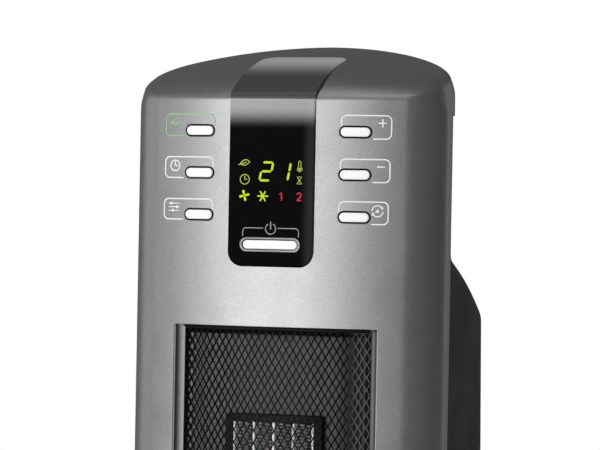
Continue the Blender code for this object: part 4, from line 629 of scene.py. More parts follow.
def back_place(i, j):
    """Corner of the back's grid."""
    return Vector((*back_section(i / BACK_COLUMNS, heights[j], HOUSING_STEP), heights[j]))


def on_back(across, height):
    """A point of the back's outer surface."""
    return Vector((across, back_y(across, height), height))


def flat_back(point):
    """Across and up on the back."""
    return point.x, point.z


def back_side(face):
    """True for faces of the back."""
    return face.calc_center_median().y > 0


BACK = on_back, flat_back, back_side, Vector((0, 0, 1))
back = bent_grid(BACK_COLUMNS, len(heights) - 1, back_place)
rocker_outline = round_box(ROCKER_HALF, ROCKER_Z - ROCKER_REACH, ROCKER_Z + ROCKER_REACH, ROCKER_CORNER)
for outline in (round_box(INTAKE_HALF, INTAKE_LOW_Z, INTAKE_HIGH_Z, INTAKE_CORNER),
                round_box(GRIP_HALF, GRIP_LOW_Z, GRIP_HIGH_Z, GRIP_CORNER, 8),
                [(ROCKER_X + x, z) for x, z in rocker_outline]):
    open_up(back, outline, BACK)
rear = piece("black_back", faced_out(back), black_moulding, "tower", "black_plastic", "rear_housing")
eased(walled(rear, WALL), MOULDED_EASE, 2)
print("back has", len(rear.data.polygons), "faces")

# %% [markdown]
# ## The display strip and the tile
# A glossy strip runs down the middle of the face and stands proud of it. Above the crease a tile of the same
# width bends over onto the roof, with a thin seam between them. The strip is lofted through outlines at
# several depths, from the hole for the power key round the soft front edge to sides that draw in towards the
# face, so that hardly any side wall shows. No shadow or mirror image of the real strip can be seen on the
# silver beside it, so the strip and the tile are kept out of the shadows and reflections.

# %% Strip
STRIP_HALF, STRIP_LENGTH, STRIP_CORNER, STRIP_PROUD, STRIP_BACK = 0.02725, 0.1014, 0.009, 0.0059, 0.0015
SEAM_DROP, STRIP_EDGE, UNDERCUT, FACE_GAP, CORNER_STEPS = 0.0013, 0.0011, 0.0018, 0.0002, 10
POWER_DROP, RING_FIT = 0.0881, 0.0002
RING_WIDTH, RING_HEIGHT, POWER_WIDTH, POWER_HEIGHT = 0.0390, 0.0088, 0.0345, 0.0054


def on_strip(across, rise, lift=0.0):
    """A point of the strip's front, or one lifted off it."""
    return LEANING @ Vector((across, -STRIP_PROUD - lift, rise))


def flat_ring(outer, inner, place):
    """A flat face between two outlines."""
    sheet = bmesh.new()
    for outline in (outer, inner):
        ring = bmesh.ops.create_circle(sheet, segments=len(outline), radius=1)["verts"]
        for vert, point in zip(ring, outline):
            vert.co = place(*point)
    bmesh.ops.bridge_loops(sheet, edges=sheet.edges[:])
    return sheet


def strip_outline(inset):
    """The strip's outline, drawn in at its sides and its foot."""
    half = STRIP_HALF - inset
    shape = round_box(half, -STRIP_LENGTH + inset, 0, STRIP_CORNER - inset / 2, CORNER_STEPS)
    return [(half, -SEAM_DROP), (-half, -SEAM_DROP)] + shape[-CORNER_STEPS - 1:] + shape[:CORNER_STEPS + 1]


window = bmesh.new()
hole = pill(RING_WIDTH + 2 * RING_FIT, RING_HEIGHT + 2 * RING_FIT, 0, -POWER_DROP)
levels = [(hole, STRIP_BACK), (hole, -STRIP_PROUD), (strip_outline(STRIP_EDGE), -STRIP_PROUD)]
levels += [(strip_outline(STRIP_EDGE * (1 - sin(t))), -STRIP_PROUD + STRIP_EDGE * (1 - cos(t)))
           for t in (pi / 8, pi / 4, pi * 3 / 8, pi / 2)]
levels += [(strip_outline(UNDERCUT), -FACE_GAP), (strip_outline(UNDERCUT), STRIP_BACK)]
loops = []
for outline, depth in levels:
    made = bmesh.ops.create_circle(window, segments=len(outline), radius=1)["verts"]
    for vert, (x, z) in zip(made, outline):
        vert.co = LEANING @ Vector((x, depth, z))
    loops.append(list({edge for vert in made for edge in vert.link_edges}))
for one, other in zip(loops, loops[1:] + loops[:1]):
    bmesh.ops.bridge_loops(window, edges=one + other)
bmesh.ops.recalc_face_normals(window, faces=window.faces)
strip = piece("display_strip", window, smoked_acrylic, "tower", "black_gloss", "display_window")
strip.visible_shadow = strip.visible_glossy = False
print("strip has", len(levels), "levels")

# %% [markdown]
# The real strip catches a pale sheen along its top, where it mirrors the open room, and a faint glint along
# its right margin. Both are painted into its colour: a painted reflection mixed in by height and a painted
# highlight added across.

# %% Painted sheen and glint on the strip
SHEEN_START, SHEEN_END, PAINTED_GLINT_START, PAINTED_GLINT_END = 0.0190, 0.0030, 0.0185, 0.0255
# Painted reflection mixed in towards the top, and a painted highlight added along the right margin.
mixed_in(smoked_acrylic, "Z", CREASE_Z - SHEEN_START, CREASE_Z - SHEEN_END, (0.52, 0.52, 0.525),
         "SMOOTHERSTEP")
mixed_in(smoked_acrylic, "X", PAINTED_GLINT_START, PAINTED_GLINT_END, (0.030, 0.030, 0.031), kind="ADD")
print("sheen fades out", 1000 * SHEEN_START, "mm below the crease")

# %% [markdown]
# The tile follows the roof's middle line, a little above it, and lifts to the strip's height at its front
# end. There it turns down in a soft curve to meet the seam. Its far corners are rounded by drawing in the
# width of the last rows.

# %% Tile
TILE_DEPTH, TILE_LIFT, TILE_CORNER, TILE_ROWS, TILE_COLUMNS = 0.057, 0.0009, 0.009, 66, 24
TURN_DEPTH, TURN_ROWS, SEAM_LIFT, LIFT_LENGTH, ROW_POWER = 0.0030, 8, 0.0009, 0.006, 1.15
TILE_THICK, TILE_EASE, TILE_EASE_ANGLE = 0.003, 0.0008, 50


def over_roof(depth):
    """Point of the tile's middle line over a depth of the roof."""
    step = TILE_DEPTH * 0.001
    slope = atan((crest(depth + step) - crest(depth)) / step)
    lift = TILE_LIFT + (STRIP_PROUD - TILE_LIFT) * exp(-depth / LIFT_LENGTH)
    return Vector((depth - lift * sin(slope), crest(depth) + lift * cos(slope)))


def tile_station(j):
    """Depth, rise and half width of the tile at row j."""
    if j < TURN_ROWS:
        share, low, high = j / TURN_ROWS, Vector((-STRIP_PROUD, SEAM_LIFT - SEAM_DROP)), over_roof(TURN_DEPTH)
        onward = over_roof(TURN_DEPTH + FACE_GAP) - high
        knee = Vector((low.x, high.y - onward.y / onward.x * (high.x - low.x)))
        return *((1 - share) ** 2 * low + 2 * share * (1 - share) * knee + share ** 2 * high), STRIP_HALF
    left = 1 - (j - TURN_ROWS) / (TILE_ROWS - TURN_ROWS)
    depth = TURN_DEPTH + (TILE_DEPTH - TURN_DEPTH) * (1 - left ** ROW_POWER)
    near_end = max(depth - (TILE_DEPTH - TILE_CORNER), 0)
    half = STRIP_HALF - TILE_CORNER + sqrt(max(TILE_CORNER ** 2 - near_end ** 2, 0))
    return *over_roof(depth), half


def tile_place(i, j):
    """Corner of the tile's grid."""
    depth, rise, half = tile_station(j)
    return Vector((half * (2 * i / TILE_COLUMNS - 1), CREASE_Y + depth, CREASE_Z + rise))


tile_sheet = faced_out(bent_grid(TILE_COLUMNS, TILE_ROWS, tile_place))
tile = piece("crown_tile", tile_sheet, gloss_tile, "tower", "black_gloss", "top_tile")
eased(walled(tile, TILE_THICK), TILE_EASE, 3, TILE_EASE_ANGLE)
tile.visible_shadow = tile.visible_glossy = False
print("tile is", TILE_DEPTH * 1000, "mm deep")

# %% [markdown]
# The tile lies under the open sky of the studio and mirrors it towards its far end, so it looks much paler
# there. As on the strip, this is a painted reflection: a pale sheen is mixed into the finish's colour, here
# by depth.

# %% Painted sheen towards the tile's far end
SHINE_START, SHINE_END = 0.012, 0.050
# Painted reflection: the colour grows pale towards the tile's far end.
mixed_in(gloss_tile, "Y", CREASE_Y + SHINE_START, CREASE_Y + SHINE_END, (0.85, 0.85, 0.855))
print("sheen begins", 1000 * SHINE_START, "mm behind the crease")

# %% [markdown]
# ## Keys and the power ring
# A key is a pill-shaped cap with a rounded edge and a slightly crowned top. Rings of the same outline, each
# drawn in a little more towards the front, follow a quarter circle. The last ring is filled. Each key is a
# white cap on a black body, and its black sides are painted shade: they make the gap round a white cap look
# black.

# %% Keys
COLLAR_THICK, COLLAR, KEY_EASE, KEY_STEPS, CROWN = 0.0012, 0.0012, 0.0008, 6, 0.00012
KEY_PROUD, POWER_PROUD, KEY_BEHIND = 0.0009, 0.0005, 0.0006


def key_cap(width, height, depth, collar, place):
    """Cap of a key, from its collar to its crowned front; place takes across, rise and lift."""
    levels = [(-collar, -depth - COLLAR_THICK), (-collar, -depth), (0, -depth), (0, -KEY_EASE)]
    turns = [pi / 2 * k / KEY_STEPS for k in range(1, KEY_STEPS + 1)]
    levels += [(KEY_EASE * (1 - cos(t)), -KEY_EASE * (1 - sin(t))) for t in turns]
    levels += [(KEY_EASE + (height / 2 - KEY_EASE) * share, CROWN * share) for share in (0.3, 0.6, 0.85)]
    rings = [pill(width - 2 * inward, height - 2 * inward) for inward, lift in levels]
    cap = bent_grid(len(rings[0]), len(levels) - 1,
                    lambda i, j: Vector((rings[j][i][0], levels[j][1], rings[j][i][1])), closed=True)
    bmesh.ops.holes_fill(cap, edges=[edge for edge in cap.edges if edge.is_boundary], sides=0)
    # Faces behind the rounded edge are black: painted shade in the gap round the cap.
    for face in cap.faces:
        face.material_index = 1 if face.calc_center_median().y < -KEY_EASE else 0
    for vert in cap.verts:
        vert.co = place(vert.co.x, vert.co.z, vert.co.y)
    bmesh.ops.recalc_face_normals(cap, faces=cap.faces)
    return cap


def white_key(name, cap, node):
    """A key with a white cap on a black body."""
    key = piece(name, cap, key_white_painted_glow, node, "white_plastic", node)
    key.data.materials.append(black_moulding)


key_nodes = {(-1, 0): "eco_button", (-1, 1): "timer_button", (-1, 2): "mode_button",
             (1, 0): "plus_button", (1, 1): "minus_button", (1, 2): "swing_button"}
for (way, row), node in key_nodes.items():
    middle = way * BUTTON_SPREAD
    square = LEANING @ Matrix.Translation((middle, face_recess(middle), -BUTTON_DROPS[row]))
    square = square @ Matrix.Rotation(atan(middle / FACE_RADIUS), 4, "Z")
    cap = key_cap(BUTTON_WIDTH, BUTTON_HEIGHT, KEY_PROUD + WALL + KEY_BEHIND, BUTTON_GAP + COLLAR,
                  lambda across, rise, lift: square @ Vector((across, -KEY_PROUD - lift, rise)))
    white_key(node.replace("_button", "_key"), cap, node)
power = key_cap(POWER_WIDTH, POWER_HEIGHT, STRIP_PROUD + POWER_PROUD + STRIP_BACK + KEY_BEHIND, COLLAR,
                lambda across, rise, lift: on_strip(across, rise - POWER_DROP, POWER_PROUD + lift))
white_key("power_key", power, "power_button")
print("keys:", len(key_nodes) + 1)

# %% [markdown]
# The power key lies in a ring of brushed steel. Its brushing runs round it on the real one, so the grain of
# its finish is stretched across.

# %% Power ring
RING_PROUD, RING_GAP, RING_DEPTH, RING_EASE = 0.0006, 0.0006, 0.008, 0.0004
ring = flat_ring(pill(RING_WIDTH, RING_HEIGHT, 0, -POWER_DROP),
                 pill(POWER_WIDTH + RING_GAP, POWER_HEIGHT + RING_GAP, 0, -POWER_DROP),
                 lambda across, rise: on_strip(across, rise, RING_PROUD))
steel_ring = piece("steel_ring", faced_out(ring), brushed_ring, "tower", "bright_metal", "power_ring")
eased(walled(steel_ring, RING_DEPTH), RING_EASE, 3)
print("ring is", round(1000 * (RING_WIDTH - POWER_WIDTH) / 2, 2), "mm wide")

# %% [markdown]
# ## The grille
# The opening is lined with a frame whose jambs curve inwards to the net. It is lofted along a path round the
# opening from one cross-section of points.

# %% Grille frame
JAMB, END_JAMB, FIT, NET_THICK = 0.0060, 0.0026, 0.0003, 0.0010
BOW_STEPS, CURVE_STEPS, COVE, LEDGE, LAP = 40, 8, 0.0008, 0.0022, 0.003
NET_FRONT, NET_RADIUS = 0.0005, 0.185


def net_sag(across):
    """Depth of the bowed net."""
    return NET_FRONT + across * across / (2 * NET_RADIUS)


def frame_station(i):
    """Signs and shares round the opening."""
    if i <= BOW_STEPS:
        return i * 2 / BOW_STEPS - 1, 1
    return 1 - (i - BOW_STEPS - 1) * 2 / BOW_STEPS, -1


shares = [k / CURVE_STEPS for k in range(CURVE_STEPS + 1)]
profile = [(FIT + (JAMB - 2 * FIT) * share, "jamb", share) for share in shares]
profile += [(JAMB - FIT, "ledge", 0), (JAMB + LEDGE, "ledge", 0), (JAMB + LEDGE, "under", 0),
            (-LAP, "under", 0), (-LAP, "lap", 0), (FIT, "lap", 0)]


def end_narrowing(inward, kind):
    """How far in a point of the profile lies at the frame's ends, where the frame is narrower."""
    if kind == "jamb":
        return inward * END_JAMB / JAMB
    return inward - JAMB + END_JAMB if inward > FIT else inward


def frame_place(i, j):
    """Corner of the frame's grid: station i round the opening, point j of the profile."""
    along_width, end = frame_station(i)
    inward, kind, share = profile[j % len(profile)]
    x = along_width * (OPENING_HALF - inward)
    reach = (OPENING_BOTTOM - OPENING_TOP) / 2 - end_narrowing(inward, kind)
    near = face_recess(x) + FIT
    net = max(net_sag(along_width * (OPENING_HALF - JAMB)), near)
    ledge = net_sag(x) + NET_THICK + 2 * FIT
    lap = face_recess(along_width * (OPENING_HALF + LAP)) + WALL + 2 * FIT
    depth = {"jamb": near + (net - near) * share + COVE * 4 * share * (1 - share), "ledge": ledge,
             "under": max(ledge, lap) + LEDGE, "lap": lap}[kind]
    return LEANING @ Vector((x, depth, end * reach - (OPENING_TOP + OPENING_BOTTOM) / 2))


lining = bent_grid(2 * BOW_STEPS + 2, len(profile), frame_place, closed=True)
bmesh.ops.remove_doubles(lining, verts=lining.verts, dist=WELD)
bmesh.ops.recalc_face_normals(lining, faces=lining.faces)
grille_frame = piece("grille_frame", lining, jamb_lacquer_painted_shade, "tower", "silver_paint", "grille_surround")
print("frame has", len(grille_frame.data.polygons), "faces")

# %% [markdown]
# Each upright jamb is hollowed like a cove. Its light and shade are painted into its colour: a dark painted
# shade at its outer edge, a paler painted light towards the net and a thin painted highlight along each outer
# edge, while the ends of the frame carry painted shadow and are black. A colour ramp across the heater's
# width lays these tones down, and the grain of the lacquer still shows in them. The ramp multiplies the
# lacquer's tone.

# %% Painted light and shade on the jambs
# Ramp stops across the width: painted highlights at the outer edges, painted shade and light on the jambs,
# painted shadow on the frame's ends.
stops = [(-0.0648, 1.0), (-0.0645, 0.05), (-0.0636, 0.07), (-0.0612, 0.75), (-0.0597, 0.70), (-0.0594, 0.02),
         (0.0600, 0.02), (0.0604, 0.24), (0.0620, 0.29), (0.0628, 0.10), (0.0642, 0.10), (0.0647, 1.0)]
tree = jamb_lacquer_painted_shade.node_tree
bands = tree.nodes.new("ShaderNodeValToRGB")
bands.color_ramp.elements[0].color = (1, 1, 1, 1)
for x, level in stops:
    stop = bands.color_ramp.elements.new((x + OPENING_HALF) / (2 * OPENING_HALF))
    stop.color = (level, level, level, 1)
tree.links.new(mapped(tree, coordinate(tree, "X"), -OPENING_HALF, OPENING_HALF), bands.inputs["Fac"])
painted_shade_mix = coloured(tree, "MULTIPLY")
painted_shade_mix.inputs["Factor"].default_value = 1.0
tree.links.new(bands.outputs["Color"], painted_shade_mix.inputs["B"])
print("bands:", len(stops))

# %% [markdown]
# Along its right edge the real net shows pale strands before a dark plate. So the strands get a painted
# highlight there and the plate behind them a painted shadow. Both tones are mixed into the finishes across
# the width.

# %% Painted light and shade on the net's right side
NET_PAINTED_LIGHT_START, NET_PAINTED_LIGHT_END, PLATE_PAINTED_SHADOW_START, PLATE_PAINTED_SHADOW_END = 0.045, 0.053, 0.034, 0.050
# Painted highlight on the net's strands and painted shadow on the plate, towards the right.
mixed_in(coated_net, "X", NET_PAINTED_LIGHT_START, NET_PAINTED_LIGHT_END, (0.15, 0.15, 0.15))
mixed_in(zinc_plate, "X", PLATE_PAINTED_SHADOW_START, PLATE_PAINTED_SHADOW_END, (0.010, 0.010, 0.010))
print("net is palest beyond", 1000 * NET_PAINTED_LIGHT_END, "mm from the middle")

# %% [markdown]
# The net is expanded steel: slit sheet that is pulled until the slits open into diamonds. A square grid
# turned by 45 degrees and stretched is already a field of diamonds. Each cell is inset, its middle is
# deleted, and what is left are the strands. Real strands twist at the knots, so the inner corners are pushed
# out of the sheet, one way above and the other below, and each strand gets its glint.

# %% Net
NET_HALF, NET_WALL = OPENING_HALF - JAMB, 0.0006
NET_LOW, NET_HIGH = -OPENING_BOTTOM + END_JAMB, -OPENING_TOP - END_JAMB
NET_COLUMNS, NET_ROWS, STRAND, TWIST = 27, 45, 0.00052, 0.00032
wide, tall = 2 * NET_HALF / NET_COLUMNS, (NET_HIGH - NET_LOW) / NET_ROWS
net = bmesh.new()
cells = NET_COLUMNS + NET_ROWS + 2
bmesh.ops.create_grid(net, x_segments=cells, y_segments=cells, size=cells / 2 / sqrt(2))
bmesh.ops.rotate(net, matrix=Matrix.Rotation(pi / 4, 3, "Z"), verts=net.verts)
bmesh.ops.scale(net, vec=(wide, tall, 1), verts=net.verts)
bmesh.ops.rotate(net, matrix=Matrix.Rotation(pi / 2, 3, "X"), verts=net.verts)
bmesh.ops.translate(net, vec=(0, 0, (NET_LOW + NET_HIGH) / 2), verts=net.verts)
for spot, normal in (((NET_HALF, 0, 0), (1, 0, 0)), ((-NET_HALF, 0, 0), (-1, 0, 0)),
                     ((0, 0, NET_HIGH), (0, 0, 1)), ((0, 0, NET_LOW), (0, 0, -1))):
    bmesh.ops.bisect_plane(net, geom=net.verts[:] + net.edges[:] + net.faces[:], dist=WELD, plane_co=spot,
                           plane_no=normal, clear_outer=True)
strands = set(bmesh.ops.inset_individual(net, faces=net.faces[:], thickness=STRAND)["faces"])
holes = [face for face in net.faces if face not in strands]
for face in holes:
    middle = face.calc_center_median()
    for vert in face.verts:
        above = vert.co.z - middle.z
        if abs(above) > tall / 8:
            vert.co.y += TWIST if above > 0 else -TWIST
bmesh.ops.delete(net, geom=holes, context="FACES")
for vert in net.verts:
    vert.co.y += net_sag(vert.co.x) + FIT
bmesh.ops.transform(net, matrix=LEANING, verts=net.verts)
if sum(face.normal.y for face in net.faces) > 0:
    bmesh.ops.reverse_faces(net, faces=net.faces)
expanded = walled(piece("expanded_net", net, coated_net, "tower", "black_plastic", "grille_mesh"), NET_WALL)
expanded.data.shade_flat()
print("net has", len(holes), "diamonds")

# %% [markdown]
# Close behind the net stands a zinc plate with a window, so that the air has to pass through the heating
# element. Above and below the window it is the grey that shows between the strands. It is a flat face
# between two outlines, with a wall.

# %% Plate behind the net
PLATE_HALF, PLATE_LOW, PLATE_HIGH, PLATE_CORNER = 0.0570, -0.4749, -0.1424, 0.001
WINDOW_HALF, WINDOW_LOW, WINDOW_HIGH, WINDOW_CORNER = 0.0309, -0.3996, -0.1904, 0.0005
PLATE_DEPTH, PLATE_THICK, PLATE_EASE = 0.0105, 0.0012, 0.0002
plate = flat_ring(spaced(round_box(PLATE_HALF, PLATE_LOW, PLATE_HIGH, PLATE_CORNER)),
                  round_box(WINDOW_HALF, WINDOW_LOW, WINDOW_HIGH, WINDOW_CORNER),
                  lambda across, rise: LEANING @ Vector((across, PLATE_DEPTH, rise)))
backplate = piece("zinc_backplate", faced_out(plate), zinc_plate, "tower", "grey_plastic", "baffle_plate")
eased(walled(backplate, PLATE_THICK), PLATE_EASE, 2)
print("plate is", 2000 * PLATE_HALF, "mm wide")

# %% [markdown]
# ## The heating element
# The plate's window shows the ceramic element: five bright bars with aluminium fins folded to and fro
# between them. A fin column is one ribbon, so a grid is bent into a zigzag.

# %% Bars and fins
ELEMENT_TOP, ELEMENT_HEIGHT, ELEMENT_DEPTH = 0.195, 0.200, 0.006
BARS, BAR_PITCH, BAR_WIDTH, BAR_LENGTH, BAR_EASE = 5, 0.0125, 0.0016, 0.020, 0.0003
FOLDS, FIN_GAP, FIN_MARGIN, FIN_THICK = 96, 0.0008, 0.0006, 0.0006
bars = bmesh.new()
for k in range(BARS):
    made = bmesh.ops.create_cube(bars, size=1.0)["verts"]
    bmesh.ops.scale(bars, vec=(BAR_WIDTH, BAR_LENGTH, ELEMENT_HEIGHT), verts=made)
    bmesh.ops.translate(bars, vec=((k - (BARS - 1) / 2) * BAR_PITCH, ELEMENT_DEPTH + BAR_LENGTH / 2,
                                   -ELEMENT_TOP - ELEMENT_HEIGHT / 2), verts=made)
bmesh.ops.transform(bars, matrix=LEANING, verts=bars.verts)
bar_nodes = ["element_bar_%d" % (k + 1) for k in range(BARS)]
eased(piece("element_bars", bars, fin_aluminium, "tower", "bright_metal", *bar_nodes), BAR_EASE, 2)
half_gap = (BAR_PITCH - BAR_WIDTH) / 2 - FIN_GAP
for k in range(BARS - 1):
    middle = (k - (BARS - 2) / 2) * BAR_PITCH

    def fin_place(i, j):
        """Corner of a fin's ribbon: fold j, and i 0 in front or 1 behind."""
        x = middle + (half_gap if j % 2 else -half_gap)
        z = -ELEMENT_TOP - ELEMENT_HEIGHT + FIN_MARGIN + (ELEMENT_HEIGHT - 2 * FIN_MARGIN) * j / (2 * FOLDS)
        return LEANING @ Vector((x, ELEMENT_DEPTH + FIN_GAP + (BAR_LENGTH - 2 * FIN_GAP) * i, z))

    fins = piece("fins_%d" % (k + 1), bent_grid(1, 2 * FOLDS, fin_place), fin_aluminium, "tower",
                 "bright_metal", "fin_column_%d" % (k + 1))
    walled(fins, FIN_THICK, 0.0, even=False)
print("fins:", BARS - 1, "ribbons of", FOLDS, "folds")

# %% [markdown]
# ## Marks on the face
# The keys' marks are printed in white. Each is a thin flat shape: ribbons along a path, discs and bars, laid
# on the curved face by the same formula as the face itself, with a film of thickness. The signs are plain
# ones that need no language. Their points are in millimetres from the middle of the crease.

# %% Helpers for marks
MM, INK_SPACING, INK_LIFT, INK_THICK = 0.001, 0.0015, 0.00003, 0.00008


def scaled(points):
    """Points in metres of points in millimetres."""
    return [(x * MM, z * MM) for x, z in points]


def line(ink, path, width, closed=False):
    """A ribbon along a path of flat points in millimetres; its width is in metres."""
    points = [Vector(p) for p in spaced(scaled(path), INK_SPACING, closed)]
    count = len(points)

    def place(i, j):
        here = points[i % count]
        before = points[(i - 1) % count] if closed or i > 0 else here
        after = points[(i + 1) % count] if closed or i < count - 1 else here
        way = (after - before).normalized()
        off = Vector((-way.y, way.x)) * width * (j - 0.5)
        return Vector((here.x + off.x, 0, here.y + off.y))

    join(ink, bent_grid(count if closed else count - 1, 1, place, closed=closed))


def arc(centre, radius, begin, end, steps=24):
    """Points of an arc, angles in degrees, anticlockwise from the right."""
    angles = [radians(begin + (end - begin) * i / steps) for i in range(steps + 1)]
    return [(centre[0] + radius * cos(a), centre[1] + radius * sin(a)) for a in angles]


def on_arc(centre, radius, angle):
    """One point of an arc."""
    return arc(centre, radius, angle, angle, 1)[0]


def filled(ink, outline):
    """A filled flat shape with its outline in millimetres."""
    made = bmesh.ops.create_circle(ink, cap_ends=True, segments=len(outline), radius=1)["verts"]
    for vert, (a, b) in zip(made, scaled(outline)):
        vert.co = Vector((a, 0, b))


def dot(ink, centre, radius):
    """A small filled disc."""
    filled(ink, arc(centre, radius, 0, 330, 11))


def bar(ink, start, end, width):
    """A bar with pointed ends, as in a numeral display, in millimetres."""
    a, b = Vector(start), Vector(end)
    way = (b - a).normalized()
    off = Vector((-way.y, way.x)) * width / 2
    tip = way * width / 2
    filled(ink, [tuple(p) for p in (a - tip, a - off, b - off, b + tip, b + off, a + off)])


def printed(name, ink, material, slot, place):
    """Lay flat shapes on a surface and give them a film of thickness."""
    for vert in ink.verts:
        vert.co = place(vert.co.x, vert.co.z, INK_LIFT)
    bmesh.ops.recalc_face_normals(ink, faces=ink.faces)
    for face in ink.faces:
        if face.normal.y > 0:
            face.normal_flip()
    walled(piece(name, ink, material, "tower", slot), INK_THICK, 1.0)


print("film of ink:", 1000 * INK_THICK, "mm")

# %% [markdown]
# A fine open frame runs round each key and its sign. It starts beside the key and stops short of closing.
# The frame of the leaf's key is green.

# %% Frames round the keys
# Both inks glow a little though no lamp is in them: painted light that lifts the print.
white_ink_painted_glow = finish("white_ink_painted_glow", grey(0.86), grey(0.92), 1500, (0.45, 0.55), 0.02, glow=0.30)
green_ink_painted_glow = finish("green_ink_painted_glow", (0.42, 0.70, 0.34), (0.48, 0.76, 0.40), 1500, (0.45, 0.55), 0.02, glow=0.03)


def left_frame(left, right, high, low, from_x, to_z, radius=3.0):
    """Open frame that runs from under the key round the left to above the key."""
    path = [(from_x, low)] + arc((left + radius, low + radius), radius, 270, 180, 10)
    path += arc((left + radius, high - radius), radius, 180, 90, 10)
    return path + arc((right - radius, high - radius), radius, 90, 0, 10) + [(right, to_z)]


def right_frame(left, right, high, low, from_z, to_x, radius=3.0):
    """Open frame that runs from above the key round the right to beside the key's foot."""
    path = [(left, from_z)] + arc((left + radius, high - radius), radius, 180, 90, 10)
    path += arc((right - radius, high - radius), radius, 90, 0, 10)
    return path + arc((right - radius, low + radius), radius, 0, -90, 10) + [(to_x, low)]


LINE, THIN_LINE = 0.00072, 0.0005
marks = bmesh.new()
for path in (left_frame(-73.4, -40.3, -36.1, -48.7, -60.4, -42.3),
             left_frame(-73.8, -40.3, -61.5, -73.9, -60.4, -67.6),
             right_frame(41.2, 71.1, -10.1, -24.0, -16.7, 60.2),
             right_frame(40.9, 70.6, -36.2, -49.8, -42.3, 60.2),
             right_frame(40.4, 70.0, -61.5, -74.8, -67.6, 60.2)):
    line(marks, path, LINE)
green_marks = bmesh.new()
line(green_marks, left_frame(-73.2, -39.9, -10.2, -23.3, -60.4, -16.7), LINE)
print("frames: 5 white, 1 green")

# %% [markdown]
# Each key has a sign: a leaf, a clock, sliders, plus, minus, and two arrows round a small triangle for the
# swing. The clock and the leaf come back in the display, so each is a function.

# %% Signs beside the keys
LEAF_RISE, ARROW_LINE = 1.2, 0.0006


def clock(ink, centre, radius, hands, width, steps):
    """A dial with two hands; hands tells how far they reach up, down, left and right of the centre."""
    (x, z), (up_by, down_by, left_by, right_by) = centre, hands
    line(ink, arc(centre, radius, 0, 360, steps)[:-1], width, closed=True)
    line(ink, [(x, z + up_by), (x, z - down_by)], width)
    line(ink, [(x - left_by, z), (x + right_by, z)], width)


def leaf(ink, tip, length, above, below, stem):
    """A leaf that rises to the right, and its stem."""
    def edge(t, swell):
        return tip[0] + length * t, tip[1] + LEAF_RISE * t + swell * sin(pi * t)

    outline = [edge(k / 10, above) for k in range(11)] + [edge(k / 10, -below) for k in range(9, 0, -1)]
    line(ink, outline, THIN_LINE, closed=True)
    line(ink, stem, THIN_LINE)


clock(marks, (-66.5, -41.4), 3.2, (2.5, 0.2, 0.4, 1.8), LINE, 40)
for drop, knob in ((-64.3, -68.9), (-66.5, -65.0), (-68.7, -67.6)):
    line(marks, [(-70.6, drop), (-63.0, drop)], THIN_LINE)
    dot(marks, (knob, drop), 0.85)
for path in ([(63.4, -14.6), (68.4, -14.6)], [(65.9, -12.1), (65.9, -17.1)], [(62.9, -40.6), (67.8, -40.6)]):
    line(marks, path, LINE)
swing, swing_radius, head_half, head_angle = (63.7, -66.9), 3.3, 1.1, 24
for begin, end in ((175, 40), (355, 220)):
    line(marks, arc(swing, swing_radius, begin, end, 18), ARROW_LINE)
    tip = on_arc(swing, swing_radius, end - head_angle)
    filled(marks, [tip] + [on_arc(swing, swing_radius + way * head_half, end) for way in (1, -1)])
filled(marks, [(62.3, -67.7), (65.1, -67.7), (63.7, -65.6)])
leaf(green_marks, (-69.6, -15.4), 6.4, 1.9, 1.5, [(-71.0, -16.0), (-65.4, -14.4)])
printed("white_marks", marks, white_ink_painted_glow, "white_plastic", on_face)
printed("green_marks", green_marks, green_ink_painted_glow, "board_green", on_face)
print("signs printed on the face: 6")

# %% [markdown]
# ## The display
# Behind the smoked strip, light-emitting segments make two leaning numerals and a few signs. They glow
# through the acrylic, so they are a film with an emission of their own. The dimmer signs have a weaker
# emission.

# %% Glowing finishes
DARK_SHARE, LIGHT_SHARE = 0.3, 0.4


def glowing(name, colour, strength):
    """A lit segment: a dark filler, mottled by its grain, with light of its own."""
    dark, light = [c * DARK_SHARE for c in colour], [c * LIGHT_SHARE for c in colour]
    made = finish(name, dark, light, 800, (0.3, 0.4), 0.0)
    shader = made.node_tree.nodes["Principled BSDF"]
    shader.inputs["Emission Color"].default_value = (*colour, 1)
    shader.inputs["Emission Strength"].default_value = strength
    return made


lit_lime = glowing("lit_lime", (0.56, 0.74, 0.02), 0.78)
dim_lime = glowing("dim_lime", (0.42, 0.50, 0.09), 0.85)
lit_red = glowing("lit_red", (0.56, 0.008, 0.030), 0.72)
print("glowing finishes: 3")

# %% [markdown]
# The large numerals lean a little, as in most such displays. A star and a small fan under them glow in the
# same lime. The two red figures are small level numbers, drawn as lines.

# %% Numerals
NUMERAL_LEAN, SEGMENT_END_SHARE = 0.19, 0.62
NUMERAL_HEIGHT, NUMERAL_WIDTH, STROKE, SIGN_STROKE = 10.8, 6.6, 1.35, 0.9


def numeral(ink, middle, segments):
    """Seven-segment numeral that leans; a to f run clockwise from the top and g is in the middle."""
    w, h = NUMERAL_WIDTH / 2, NUMERAL_HEIGHT / 2
    ends = {"a": ((-w, h), (w, h)), "b": ((w, h), (w, 0)), "c": ((w, 0), (w, -h)), "d": ((-w, -h), (w, -h)),
            "e": ((-w, 0), (-w, -h)), "f": ((-w, h), (-w, 0)), "g": ((-w, 0), (w, 0))}
    for name in segments:
        start, end = Vector(ends[name][0]), Vector(ends[name][1])
        short = (end - start).normalized() * STROKE * SEGMENT_END_SHARE
        spots = [(middle[0] + p.x + NUMERAL_LEAN * p.y, middle[1] + p.y)
                 for p in (start + short, end - short)]
        bar(ink, *spots, STROKE)


